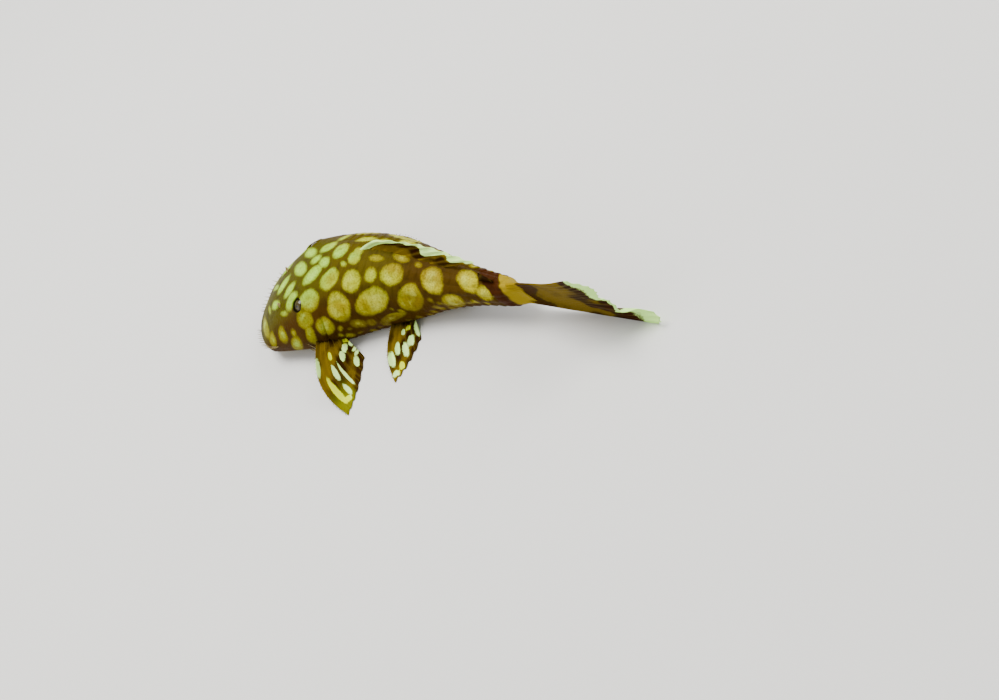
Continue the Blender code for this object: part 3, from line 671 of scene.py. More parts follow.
def far_side(chance):
    """A place, size and tilt on the side that the camera doesn't see, larger on the flank."""
    column = chance.uniform(0.03, 0.86)
    angle = -chance.uniform(np.interp(column, (0.1, 0.25, 0.46, 0.48), (0.40, 0.55, 0.55, 0.25)), 1.65)
    size = np.interp(column, (0.0, 0.2, 0.4, 0.7, 0.9), (0.75, 1.4, 2.4, 2.2, 1.5))
    return column, angle, size * chance.uniform(0.85, 1.15), chance.uniform(-0.8, 0.8)


def small_gaps(chance):
    """A place for a small spot low on either side, along the belly's edge."""
    column, side = chance.uniform(0.36, 0.90), chance.choice((-1, 1))
    return column, side * chance.uniform(1.25, 2.0), chance.uniform(0.4, 0.8), chance.uniform(-0.5, 0.5)


planned = np.array(HEAD_SPOTS + SHOULDER_SPOTS + FLANK_SPOTS) * (1, 1, 1, 1, math.radians(1))
low = planned[(planned[:, 0] > LOW_FROM[0]) & (planned[:, 1] > LOW_FROM[1])]
mirrored = low * (1, -1, 1, 1, -1) + (MIRROR_SHIFT, 0, 0, 0, 0)
spots = scattered_spots(np.concatenate([planned, mirrored]), FAR_TRIES, FAR_SEED, far_side)
spots = scattered_spots(spots, GAP_TRIES, GAP_SEED, small_gaps)
print(len(spots), "spots,", len(planned), "of them placed by hand")

# %% [markdown]
# ## One skin
# The solids are cut into head, trunk and tail, and such seams would show. So one grid of rings runs from
# the snout to the tail fin. A sculpted mesh would do as well, but on a grid the plates, the pits and the
# spots all read the same two numbers, the column and the angle.

# %% The skin
# The first number sets where painted shade in the gap round each eye begins.
SOCKET_SHADE_REACH, BELLY_SIDE, BELLY_END = 0.35, (2.05, 2.45), (0.66, 0.80)
BAND_ANGLES = (-2.2, -1.6, -0.8, -0.09, 0.37, 0.86, 1.30, 1.78)
BAND_START = (0.945, 0.925, 0.872, 0.897, 0.924, 0.946, 0.952, 0.954)
BAND_END = (0.975, 0.965, 0.944, 0.964, 0.972, 0.980, 0.984, 0.982)
TAN_END = (1.030, 1.010, 1.004, 1.024, 1.034, 1.040, 1.040, 1.040)
nose_columns = NOSE_LENGTH * (1 - np.cos(np.radians(np.linspace(4, 90, 34))))
columns = np.concatenate([nose_columns, np.linspace(NOSE_LENGTH, 1.035, 397)[1:]])
left_angles = np.radians(np.concatenate([np.linspace(0, 112, 83), np.linspace(112, 180, 27)[1:]]))
angles = np.concatenate([left_angles, -left_angles[-2:0:-1]])
column_grid, angle_grid = np.meshgrid(columns, angles, indexing="ij")
relief = (plate_relief(column_grid, angle_grid) + head_relief(column_grid, angle_grid)) * MM
skin_points = press_pits(smooth_skin(column_grid, angle_grid, relief))
skin_points[..., 2] = np.maximum(skin_points[..., 2], 0.0)
flat = flat_place(columns[:, None], left_angles[None, :])
flat = np.concatenate([flat, flat[:, -2:0:-1] * (1, -1)], 1)


def spot_distance(flat, spots):
    """Distance in mm to the nearest spot's edge, below 0 inside: one less than the distance from its
    middle counted in half lengths and half widths, times the spot's mean half size."""
    nearest = np.full(flat.shape[:-1], 9.0)
    for along, way, long, wide, tilt in spots:
        x, y = flat[..., 0] - along, flat[..., 1] - way
        c, s = math.cos(tilt), math.sin(tilt)
        far = np.hypot((c * x + s * y) / long, (c * y - s * x) / wide)
        nearest = np.minimum(nearest, (far - 1) * math.sqrt(long * wide))
    return np.clip(nearest, -3, 3)


def from_either(column, angle):
    """Distance in mm from the line out of the skin at a place or at the same place of the other side."""
    return np.minimum(*(from_axis(skin_points, column, side * angle)[0] for side in SIDES.values()))


def inside_stripe(start, end):
    """Distance in mm along the body to the nearer edge of a stripe, above 0 inside it."""
    return np.minimum(column_grid - start, end - column_grid) * LENGTH_IN_MM


# Distance to the gap round each eye, where shade is painted.
eye_socket_shade = from_either(EYE_COLUMN, EYE_ANGLE) - EYE_OPENING + SOCKET_SHADE_REACH
stripe_edges = (np.interp(angle_grid, BAND_ANGLES, edge) for edge in (BAND_START, BAND_END, TAN_END))
band_start, band_end, tan_end = stripe_edges
skin_marks = {
    "spot": spot_distance(flat, spots),
    "along": flat[..., 0],
    "round": np.abs(flat[..., 1]),
    "belly": ease(from_ridge(angle_grid), *BELLY_SIDE) * (1 - ease(column_grid, *BELLY_END)),
    # The seam mark carries painted shade: the nostrils and the gap round each eye.
    "seam": np.minimum(from_either(NOSTRIL_COLUMN, NOSTRIL_ANGLE), eye_socket_shade),
    "band": inside_stripe(band_start, band_end),
    "tan": inside_stripe(band_end, tan_end),
}
skin = tube("skin", skin_points, skin_marks)
print("skin:", len(skin.data.polygons), "faces,", len(skin.data.vertices), "points")

# %% [markdown]
# ## Painting the skin
# The dark ground is olive on the head and nearly brown low on the flank, where it is also darkened as painted
# shade of light from above. The spots are mint on top of the head and the nape, duller at the snout,
# olive-yellow on the flank and tan towards the tail; the low ones are darkened as painted shade, and under
# the folded dorsal fin their tops carry its painted shadow. Each of these is a soft step along the body or
# down from the ridge, so it stays on the animal from any side. The tints come first, because a name such as
# mint spot tells more in a formula than three numbers do.

# %% Tints of the skin
# The brown of the low flank is partly painted shade of light from above.
OLIVE_BACK, SHADED_BROWN_FLANK, OLIVE_HEAD = tint(78, 67, 3), tint(66, 45, 3), tint(70, 68, 7)
# The last tint of the next line is painted shade for the eye sockets and nostrils.
BROWN_TAIL, DEEP_BROWN, PAINTED_HOLLOW_SHADE = tint(66, 44, 3), tint(30, 18, 3), tint(18, 15, 5)
# The low and lowest spot tints, and the low tan one below, are spots darkened as painted shade low on the
# flank.
HIGH_SPOT, SHADED_LOW_SPOT, SHADED_LOWEST_SPOT = tint(166, 174, 32), tint(158, 150, 14), tint(84, 62, 5)
# The tint for spots by the fin is painted shadow of the folded dorsal fin.
TAN_SPOT, SHADED_LOW_TAN_SPOT, SPOT_IN_FIN_SHADOW = tint(172, 158, 24), tint(104, 82, 7), tint(128, 102, 11)
MINT_SPOT, DULL_SPOT = tint(156, 206, 62), tint(126, 120, 9)
LIGHT_PATCH, LIGHT_MINT_PATCH = tint(204, 208, 84), tint(184, 226, 88)
DARK_PATCH, DARK_MINT_PATCH = tint(134, 112, 14), tint(118, 136, 24)
SPOT_RIM, SPOT_GRAIN = tint(116, 110, 10), tint(92, 78, 8)
DARK_BAND, TAN_BAND = tint(60, 32, 3), tint(146, 124, 24)
PALE_BELLY, BROWN_BELLY = tint(158, 140, 66), tint(112, 92, 30)
print("the mint of the head's spots as light:", [round(part, 3) for part in MINT_SPOT[:3]])

# %% [markdown]
# ## The skin's finish
# The tints are laid over each other as a painter would: the ground first, then the spots, and the bands,
# the belly and the painted shade of the eye sockets and nostrils last. A spot fades into the ground over most
# of a millimetre and its middle is mottled. Fine teeth that cover the plates are a bump of small cells on the
# flat skin. The skin is matt, so its shine is low and the colours stay deep.

# %% Skin finish
coat = Finish("spotted skin", 0.45, Specular_IOR_Level=0.035)
along, down_from_ridge = coat.mark("along"), coat.mark("round")
# The hollow mark is painted shade in the eye sockets and nostrils.
belly, hollow = coat.mark("belly"), coat.mark("seam")
rough_patches = coat.noise(2.6, 3)
fine_grain = coat.noise(0.35, 2)
clouds = coat.noise(3.0, 3)
edge = coat.mark("spot") + (rough_patches - 0.5) * 0.8 + (fine_grain - 0.5) * 0.25
spot = edge.step(0.42, -0.42)
core = edge.step(-0.2, -1.5)
head_share = along.step(29, 17)
rear_share = along.step(39, 50)
# Share down the flank: a browner tone of the fish's own, and darker as painted shade of light from above.
shaded_low_share = down_from_ridge.step(4.5, 10.5)
# The dull share is duller at the snout, and its low part is the painted shade of the low flank.
dull_share = (shaded_low_share + along.step(9.0, 3.0)).step(0.0, 1.0)

mint_share = head_share.at_least((along + down_from_ridge * 2.5).step(38.5, 28))
# Painted shadow of the folded dorsal fin on the tops of the spots under it.
fin_shadow_share = down_from_ridge.step(3.7, 1.9) * along.step(34, 37) * along.step(62, 58)
# Painted shade: the lowest spots on the flank sink nearly into the dark ground.
lowest_shade = down_from_ridge.step(11.2, 13.2) * along.step(27, 31)
ragged = (rough_patches - 0.5) * 0.9

# The ground darkens down the flank as painted shade.
ground = coat.blend(shaded_low_share, OLIVE_BACK, SHADED_BROWN_FLANK)
ground = coat.blend(head_share * (1 - shaded_low_share) * 0.8, ground, OLIVE_HEAD)
ground = coat.blend(rear_share * 0.8, ground, BROWN_TAIL)
ground = coat.blend(rough_patches.step(0.45, 0.70) * 0.30, ground, DEEP_BROWN)
# Spots darken downwards as painted shade, on the flank and at the rear.
pale = coat.blend(shaded_low_share, HIGH_SPOT, SHADED_LOW_SPOT)
pale = coat.blend(rear_share * 0.9, pale, coat.blend(down_from_ridge.step(3.8, 7.5), TAN_SPOT, SHADED_LOW_TAN_SPOT))
pale = coat.blend(mint_share * 0.9, pale, coat.blend(dull_share, MINT_SPOT, DULL_SPOT))
pale = coat.blend(lowest_shade * 0.85, pale, SHADED_LOWEST_SPOT)
# Painted shadow of the dorsal fin darkens the spots' tops.
pale = coat.blend(fin_shadow_share * 0.70, pale, SPOT_IN_FIN_SHADOW)
light_patches = coat.blend(mint_share, LIGHT_PATCH, LIGHT_MINT_PATCH)
dark_patches = coat.blend(mint_share, DARK_PATCH, DARK_MINT_PATCH)
pale = coat.blend(core * clouds.step(0.42, 0.62) * 0.50, pale, light_patches)
pale = coat.blend(core * clouds.step(0.50, 0.34) * 0.50, pale, dark_patches)
pale = coat.blend(edge.step(-0.90, 0.05) * 0.40, pale, SPOT_RIM)
pale = coat.blend(fine_grain.step(0.40, 0.70) * 0.45, pale, SPOT_GRAIN)

colour = coat.blend(spot * 0.97, ground, pale)
colour = coat.blend((coat.mark("band") + ragged).step(-0.2, 0.3), colour, DARK_BAND)
colour = coat.blend((coat.mark("tan") + ragged).step(-0.1, 0.4), colour, TAN_BAND)
colour = coat.blend(belly, colour, coat.blend(rough_patches.step(0.35, 0.7), PALE_BELLY, BROWN_BELLY))
# Painted shade: the eye sockets and nostrils are painted nearly black.
colour = coat.blend(hollow.step(0.55, 0.25), colour, PAINTED_HOLLOW_SHADE)
teeth = coat.cells(0.30, at=coat.joined(along * MM, down_from_ridge * (0.75 * MM), 0.0))
coat.paint(Base_Color=colour, Roughness=(spot * -0.06 + 0.50) + fine_grain * 0.1)
coat.bumps(teeth.step(0.1, 0.7, 1.0, 0.0) * (1 - belly) + fine_grain * 0.5, 0.035)
skin.data.materials.append(coat.material)
print("skin finish:", len(coat.tree.nodes), "nodes")

# %% [markdown]
# ## Eyes
# A pleco's eye has no lids. A clear dome stands a little out of a bony ring, and in bright light a lobe of
# the iris hangs over the pupil and leaves a thin dark crescent, so the eye hides among the spots. The
# balls are rings round the line of sight, and each point carries its angle from that line and how high it
# lies over it, from which the paint draws the iris.

# %% Eyeballs


def eyeball(name, side):
    """A ball of rings: radius times the sine of the angle from the line of sight, out from the line, and
    times the cosine along it. The middle lies under the skin, so that only a low dome shows."""
    point, out, _ = skin_frame(EYE_COLUMN, side * EYE_ANGLE)
    centre = point - (EYE_RADIUS - EYE_SHOWS) * MM * out
    upward = unit(UPWARD - out[2] * out)
    level = np.cross(out, upward)
    away = np.radians(np.linspace(1.5, 100, 46))[:, None]
    turn = np.radians(np.arange(0, 360, 5))[None, :]
    aside = np.cos(turn)[..., None] * level + np.sin(turn)[..., None] * upward
    points = np.sin(away)[..., None] * aside + np.cos(away)[..., None] * out
    marks = {"off_sight": np.degrees(away) + 0 * turn, "over": np.sin(away) * np.sin(turn)}
    return tube(name, centre + EYE_RADIUS * MM * points, marks)


IRIS_OLIVE, IRIS_BROWN, IRIS_FLECK = tint(62, 52, 9), tint(38, 29, 5), tint(88, 80, 20)
EYE_RIM_DARK, PUPIL_BLACK = tint(24, 20, 10), tint(6, 6, 6)
glass = Finish("clear eye", 0.22, Specular_IOR_Level=0.2, Coat_Weight=0.3, Coat_Roughness=0.03)
off_sight, over = glass.mark("off_sight"), glass.mark("over")
fleck = glass.noise(0.22, 3)
pupil = off_sight.step(17.5, 14.5)
lobe = (over * 40.0 + off_sight * -0.32).step(-7.5, -4.0)
iris = glass.blend((off_sight + fleck * 10).step(24, 40), IRIS_OLIVE, IRIS_BROWN)
iris = glass.blend(fleck.step(0.45, 0.7) * 0.4, iris, IRIS_FLECK)
iris = glass.blend(off_sight.step(40, 47), iris, EYE_RIM_DARK)
glass.paint(Base_Color=glass.blend(pupil * (1 - lobe * 0.8), iris, PUPIL_BLACK))
eyes = {}
for word, side in SIDES.items():
    eyes[word] = eyeball("eyeball_" + word, side)
    eyes[word].data.materials.append(glass.material)
print("eyes of", 2 * EYE_RADIUS, "mm, of which", EYE_SHOWS, "mm shows")

# %% [markdown]
# ## Rays and skin of the fins
# A fin is a thin skin stretched over bony rays that fan from its root and fork before the edge. Separate
# rods for the rays would have to be joined to the skin, so the blade's thickness carries them: a ridge at
# each ray, which parts into two, and a stout spine along the front.

# %% Fin helpers
MEMBRANE, RAY_RIDGE = 0.24, 0.30
RAY_STEPS, FIN_ROWS = 14, 64


def between(ends, share):
    """The value that lies a share of the way from the first to the second."""
    return ends[0] + (ends[1] - ends[0]) * share


def fin_grid(root, tip, rays, rows=FIN_ROWS, steps=RAY_STEPS):
    """Straight lines from a root curve to a tip curve. Across is 0 on the leading ray and 1 on the last,
    down is 0 at the root and 1 at the edge."""
    across = np.linspace(0, 1, (rays - 1) * steps + 1)[None, :]
    down = np.linspace(0, 1, rows)[:, None]
    start, end = ([np.broadcast_to(v, across.shape) for v in curve(across)] for curve in (root, tip))
    return across, down, [between(ends, down) for ends in zip(start, end)]


def ray_ridges(across, down, rays, fork=0.45):
    """From 0 between rays to 1 on them: bells at whole numbers of the ray count, each of which parts into
    two that drift away from each other behind the fork."""
    count = across * (rays - 1)
    from_ray = count - np.round(count)
    drift = 0.21 * ease(down, fork, 1.05)
    width = 0.13 - 0.05 * ease(down, fork, 1.0)
    return np.maximum(hump(from_ray, drift, width), hump(from_ray, -drift, width))


def fin_thickness(across, down, rays, spine, fork=0.45):
    """In metres: the membrane, thinner towards the edge, plus the ridges and the spine, both finer
    towards the tip."""
    ridges = ray_ridges(across, down, rays, fork) * RAY_RIDGE * (1 - 0.62 * down)
    lead = hump(across * (rays - 1), 0.12, 0.30) * spine * (1 - 0.55 * down)
    skin = MEMBRANE * (1 - 0.45 * down) * (0.45 + 0.55 * ease(across, 1.0, 0.985))
    return (skin + np.maximum(ridges, lead)) * ease(down, 1.03, 0.93) ** 0.5 * MM


def dash_distance(across, down, dashes):
    """Below 0 in a dash: one less than the distance from its middle, counted in half sizes across the
    rays and down them."""
    nearest = np.full(np.broadcast_shapes(across.shape, down.shape), 4.0)
    for at_down, at_across, long, wide in dashes:
        nearest = np.minimum(nearest, np.hypot((down - at_down) / long, (across - at_across) / wide) - 1)
    return nearest


def fin_piece(name, middle, thick, across, down, rays, pale, dark, length, through=None, warm=4.0):
    """A blade with the marks that the fin paint reads."""
    marks = {
        "pale": pale,
        "dark": dark,
        "warm": warm + 0 * pale,
        "ray": ray_ridges(across, down, rays),
        "outward": down * length + 0 * across,
    }
    return blade(name, middle, thick, marks, through)


print("a fin of 7 rays has", 6 * RAY_STEPS + 1, "columns of", FIN_ROWS, "points")

# %% [markdown]
# ## Pectoral and pelvic fins
# These four fins prop the fish on the ground. The left ones are spread, as in the photograph, and the
# right ones are folded back along the flank, out of sight. Every fin is crossed by rows of white dashes
# that sit on the rays. The dashes are listed as they are seen: how far down, how far across, half length
# and half width. A second list gives the places where they turn from mint to yellow.

# %% Paired fins
FIN_BULGE, FIN_SWING, FIN_SCALLOP, FIN_WAVE = 0.07, 1.6, 0.006, 0.0016
FLOOR_SHARE, LEAST_HALF = 0.86, 0.12
PECTORAL = {
    "rays": 7,
    "spine": 0.80,
    "heights": {"left": (0.048, 0.034), "right": (0.026, 0.026)},
    "length": 20.0,
    "teeth": 0.42,
    "root": {"left": ((0.252, 0.302), (0.120, 0.112)), "right": ((0.252, 0.302), (0.140, 0.134))},
    "reach": {"left": ((0.470, 0.380), (0.438, 0.200)), "right": ((0.520, 0.146), (0.455, 0.126))},
    "swing": {"left": (0.066, 0.020), "right": (0.0, 0.040)},
}
PELVIC = {
    "rays": 6,
    "spine": 0.62,
    "heights": {"left": (0.014, 0.012), "right": (0.014, 0.012)},
    "length": 15.0,
    "teeth": 0.26,
    "root": {"left": ((0.512, 0.580), (0.062, 0.060)), "right": ((0.515, 0.552), (0.084, 0.084))},
    "reach": {"left": ((0.639, 0.272), (0.651, 0.136)), "right": ((0.695, 0.078), (0.655, 0.066))},
    "swing": {"left": (0.030, 0.008), "right": (0.0, 0.028)},
}
PECTORAL["dashes"] = (
    (0.58, 0.99, 0.060, 0.05),
    (0.55, 0.84, 0.058, 0.085),
    (0.46, 0.96, 0.057, 0.072),
    (0.70, 0.97, 0.028, 0.070),
    (0.77, 0.95, 0.028, 0.070),
    (0.83, 0.84, 0.065, 0.070),
    (0.60, 0.70, 0.066, 0.065),
    (0.65, 0.40, 0.100, 0.048),
    (0.76, 0.54, 0.175, 0.025),
    (0.87, 0.38, 0.076, 0.042),
    (0.78, 0.19, 0.165, 0.060),
    (0.48, 0.05, 0.100, 0.045),
    (0.93, 0.27, 0.040, 0.080),
    (0.45, 0.43, 0.055, 0.050),
)
PECTORAL["warm"] = ((0.82, 0.17, 0.22, 0.17), (0.45, 0.43, 0.10, 0.10), (0.46, 0.96, 0.09, 0.10))
PELVIC["dashes"] = (
    (0.63, 0.97, 0.237, 0.080),
    (0.73, 0.74, 0.110, 0.110),
    (0.77, 0.54, 0.130, 0.090),
    (0.65, 0.32, 0.099, 0.085),
    (0.73, 0.11, 0.107, 0.096),
    (0.92, 0.33, 0.070, 0.084),
    (0.94, 0.13, 0.045, 0.110),
    (0.44, 0.71, 0.056, 0.085),
    (0.45, 0.52, 0.058, 0.067),
)
PELVIC["warm"] = ((0.92, 0.33, 0.12, 0.14), (0.44, 0.71, 0.10, 0.12))
PAIRED = {"pectoral": PECTORAL, "pelvic": PELVIC}


def paired_middle(side, kind):
    """The middle surface of a paired fin, a fan from a short root to a rounded edge. The first ray swings
    forward and out by half a sine wave, and all of them arch and come down on the floor."""
    rays, word = kind["rays"], "left" if side > 0 else "right"
    root, reach, (forward, outward) = kind["root"][word], kind["reach"][word], kind["swing"][word]
    root_height, arch = kind["heights"][word]

    def start(across):
        return [between(ends, across) for ends in root]

    def end(across):
        (first, far), (last, near) = reach
        bulge = FIN_BULGE * math.hypot(last - first, near - far) * np.sin(math.pi * across)
        scallop = FIN_SCALLOP * np.sin(math.pi * across * (rays - 1)) ** 2 * (word == "left")
        return [between(ends, across) + bulge - scallop for ends in ((first, last), (far, near))]

    across, down, (station, left) = fin_grid(start, end, rays)
    swing = np.sin(math.pi * down**FIN_SWING) * (1 - across)
    fall = np.clip(down / FLOOR_SHARE, 0, 1)
    wave = FIN_WAVE * np.sin(2 * math.pi * across * (rays - 1)) * np.sin(math.pi * down)
    lift = root_height * (1 - fall) ** 1.35 + arch * np.sin(math.pi * fall) * (1 - 0.6 * across) + wave
    thick = fin_thickness(across, down, rays, kind["spine"])
    height = lift + np.maximum(thick / 2, LEAST_HALF * MM) / STANDARD_LENGTH
    middle = place(station - forward * swing, side * (left + outward * swing), height)
    return across, down, thick, middle


def paired_fin(name, side, kind):
    """A paired fin with its dashes. The dark mark is bands across the rays, more at the root and towards
    the rear rays, less a light patch near the root."""
    across, down, thick, middle = paired_middle(side, kind)
    bands = np.sin(down * 17 + 5.0 * across) * 0.4
    dark = bands + 0.7 * hump(down, 0.10, 0.16) + 0.5 * ease(across, 0.10, 0.50) + 0.15
    light_patch = 0.8 * hump(np.hypot(down - 0.34, 0.8 * (across - 0.36)), 0, 0.20)
    dark = np.minimum(dark - light_patch, 0.8)
    pale, warm = (dash_distance(across, down, kind[marks]) for marks in ("dashes", "warm"))
    rays, length = kind["rays"], kind["length"]
    return fin_piece(name, middle, thick, across, down, rays, pale, dark, length, UPWARD, warm)


fins = {}
for word, side in SIDES.items():
    for pair, kind in PAIRED.items():
        fins[f"{pair}_fin_{word}"] = paired_fin(f"{pair}_{word}", side, kind)
print(len(fins), "paired fins of", len(fins["pectoral_fin_left"].data.polygons), "faces or fewer")

# %% [markdown]
# ## Fins of the back and under the tail
# The dorsal fin lies folded along the back and leans away from the camera, with a white edge that
# thickens in three places. Behind it stands the short spine of the adipose fin, and the small anal fin is
# folded under the tail. All three are upright blades, so their thickness runs square to the blade.

# %% Upright fins
FIN_SINK = 0.024
DORSAL_ROOT, DORSAL_TIP = (0.440, 0.700), (0.578, 0.894)
DORSAL_RISE, DORSAL_SIDE, DORSAL_BOW = (0.042, 0.034), (-0.023, -0.027), (-0.018, 0.004)
DORSAL_RAYS, DORSAL_SPINE, DORSAL_BULGE, DORSAL_RIPPLE = 8, 0.62, (0.004, 0.009), 0.0020
DORSAL_ACROSS = (
    *(0, 0.08, 0.13, 0.16, 0.20, 0.33, 0.46, 0.52, 0.60),
    *(0.67, 0.695, 0.715, 0.745, 0.77, 0.84, 0.90, 0.94, 1),
)
DORSAL_EDGE = (
    *(0.20, 0.28, 0.58, 0.76, 0.85, 0.87, 0.86, 0.70, 0.58),
    *(0.52, 0.66, 0.92, 0.92, 0.84, 0.72, 0.70, 0.86, 0.84),
)
ADIPOSE_ROOT, ADIPOSE_TIP, ADIPOSE_RISE = (0.880, 0.935), (0.932, 0.950), (0.046, 0.010)
ANAL_ROOT, ANAL_TIP, ANAL_HEIGHT = (0.672, 0.708), (0.762, 0.802), (0.0062, 0.0222)
ANAL_RAYS, ANAL_SPINE = 5, 0.34
ANAL_DASHES = ((0.55, 0.3, 0.09, 0.12), (0.80, 0.7, 0.08, 0.12), (0.9, 0.1, 0.1, 0.2))


def back_line(ends):
    """A root under the ridge of the back, from one station to another."""

    def root(across):
        station = between(ends, across)
        return station, 0 * across, smooth_profile(station, STATION, TOP) - FIN_SINK

    return root


def dorsal_fin():
    """A low fan from the ridge of the back to a line of tips behind and above it. Both the bulge of its
    edge and its bow between root and edge are half a sine wave."""

    def tip(across):
        station = between(DORSAL_TIP, across)
        up, out = (share * np.sin(math.pi * across) for share in DORSAL_BULGE)
        height = smooth_profile(station, STATION, TOP) + between(DORSAL_RISE, across) + up
        return station, between(DORSAL_SIDE, across) - out, height

    across, down, grid = fin_grid(back_line(DORSAL_ROOT), tip, DORSAL_RAYS)
    bow = np.sin(math.pi * down) * (1 - across) ** 2
    ripple = DORSAL_RIPPLE * np.sin(2 * math.pi * across * (DORSAL_RAYS - 1)) * down
    grid[1] = grid[1] + DORSAL_BOW[0] * bow + ripple
    grid[2] = grid[2] + DORSAL_BOW[1] * bow
    thick = fin_thickness(across, down, DORSAL_RAYS, DORSAL_SPINE)
    edge = np.interp(across, DORSAL_ACROSS, DORSAL_EDGE)
    pale = (edge - down) / 0.08
    warm = 0.16 + 2 * ease(across, 0.16, 0.26) + 0 * down
    dark = 0.9 * hump(down, edge - 0.12, 0.10) + 0.5 * np.sin(down * 9 + across * 4)
    return fin_piece("dorsal", place(*grid), thick, across, down, DORSAL_RAYS, pale, dark, 12.0, warm=warm)


def adipose_fin():
    """A curved spine with a small flap of skin behind it."""

    def tip(across):
        station = between(ADIPOSE_TIP, across)
        return station, 0 * across, smooth_profile(station, STATION, TOP) + between(ADIPOSE_RISE, across)

    across, down, grid = fin_grid(back_line(ADIPOSE_ROOT), tip, 2, rows=28, steps=24)
    thick = (0.20 + 0.55 * hump(across, 0.0, 0.20) * (1 - 0.5 * down)) * ease(down, 1.04, 0.86) ** 0.5 * MM
    dark = 0.9 - 0 * across * down
    return fin_piece("adipose", place(*grid), thick, across, down, 2, dark + 3, dark, 4.0)


def anal_fin():
    """A small fan folded back under the tail."""

    def root(across):
        station = between(ANAL_ROOT, across)
        return station, 0 * across, smooth_profile(station, STATION, BOTTOM) + FIN_SINK

    def tip(across):
        return between(ANAL_TIP, across), 0 * across, between(ANAL_HEIGHT, across)

    across, down, grid = fin_grid(root, tip, ANAL_RAYS, rows=40, steps=8)
    thick = fin_thickness(across, down, ANAL_RAYS, ANAL_SPINE)
    dark = np.sin(down * 14 + 3 * across) * 0.5
    pale = dash_distance(across, down, ANAL_DASHES)
    return fin_piece("anal", place(*grid), thick, across, down, ANAL_RAYS, pale, dark, 6.0)


fins["dorsal_fin"] = dorsal_fin()
fins["adipose_fin"] = adipose_fin()
fins["anal_fin"] = anal_fin()
print("the folded dorsal fin stands", round(DORSAL_RISE[0] * LENGTH_IN_MM, 1), "mm above the back")

# %% [markdown]
# ## Tail fin
# Sixteen branched rays spread from the wedge at the tail's end, and the lower lobe is the longer one. In a
# young fish the rear edge is white, thick at both corners and thin between them, with a dark line inside
# it, and a dark band crosses the fin near its root. A plain fan would look like card, because the soft
# edge of a real one is never flat, so it gets a wave of its own.

# %% Tail fin
TAIL_RAYS, TAIL_SPINE, TAIL_FORK = 16, 0.45, 0.30
TAIL_ROOT, TAIL_TOP, TAIL_SAG, TAIL_START = (0.0385, 0.1355), 0.222, 0.018, 0.992
TAIL_ACROSS = (0.0, 0.08, 0.16, 0.26, 0.36, 0.50, 0.64, 0.76, 0.88, 1.0)
TAIL_EDGE = (1.380, 1.400, 1.398, 1.362, 1.322, 1.299, 1.303, 1.313, 1.301, 1.262)
TAIL_SCALLOP, TAIL_RIPPLE, TAIL_SWAY = 0.005, 0.0011, 0.0030
NOTCH_AT, NOTCH_WIDTH, NOTCH_DEPTH = 0.29, 0.055, 0.026
LEAN_ACROSS = (0.0, 0.07, 0.17, 0.225, 0.31, 0.36, 0.46, 0.58, 0.70, 0.80, 1.0)
EDGE_LEAN = (0.001, 0.001, -0.010, -0.013, 0.008, 0.003, -0.005, 0.002, -0.001, -0.006, -0.006)
SEAM_ACROSS = (0.0, 0.05, 0.12, 0.22, 0.29, 0.36, 0.46, 0.55, 0.69, 0.82, 0.90, 0.96, 1.0)
SEAM_WIDTH = (0.10, 0.14, 0.16, 0.15, 0.06, 0.035, 0.035, 0.08, 0.120, 0.14, 0.13, 0.08, 0.04)
UPPER_SPINE, STUMP = 0.40, 1.55


def tail_grid():
    """A fan from the upright wedge to a rear edge, with a sag below and a ripple that grows outwards. The
    edge is a smooth curve less a dip between the rays and a notch below the middle. Near it the lobes lean
    to the fish's right and the notch to its left, which makes a short wave."""

    def root(across):
        return TAIL_START + 0 * across, 0 * across, between(TAIL_ROOT, across)

    def tip(across):
        scallop = TAIL_SCALLOP * np.sin(math.pi * across * (TAIL_RAYS - 1)) ** 2
        notch = NOTCH_DEPTH * hump(across, NOTCH_AT, NOTCH_WIDTH)
        edge = smooth_profile(across, TAIL_ACROSS, TAIL_EDGE) - scallop - notch
        return edge, 0 * across, TAIL_TOP * across

    across, down, grid = fin_grid(root, tip, TAIL_RAYS, rows=90, steps=10)
    grid[2] = grid[2] - TAIL_SAG * (1 - across) ** 2 * np.sin(math.pi * down)
    ripple = TAIL_RIPPLE * np.sin(2 * math.pi * across * (TAIL_RAYS - 1))
    sway = TAIL_SWAY * np.sin(5.5 * across + 1.0)
    lean = smooth_profile(across, LEAN_ACROSS, EDGE_LEAN) * ease(down, 0.68, 1.0)
    grid[1] = grid[1] + (ripple + sway) * down**1.5 + lean
    return across, down, grid


def tail_thickness(across, down):
    """The rays' thickness, a second spine along the upper edge, and a flat oval at the root, where the
    fan grows out of the body."""
    rays = fin_thickness(across, down, TAIL_RAYS, TAIL_SPINE, fork=TAIL_FORK)
    upper_edge = hump((1 - across) * (TAIL_RAYS - 1), 0.1, 0.3) * UPPER_SPINE * (1 - 0.5 * down)
    stump = STUMP * np.sqrt(np.clip(1 - (2 * across - 1) ** 2, 0, 1)) * hump(down, 0.0, 0.10)
    return np.maximum(rays, upper_edge * MM) + stump * MM


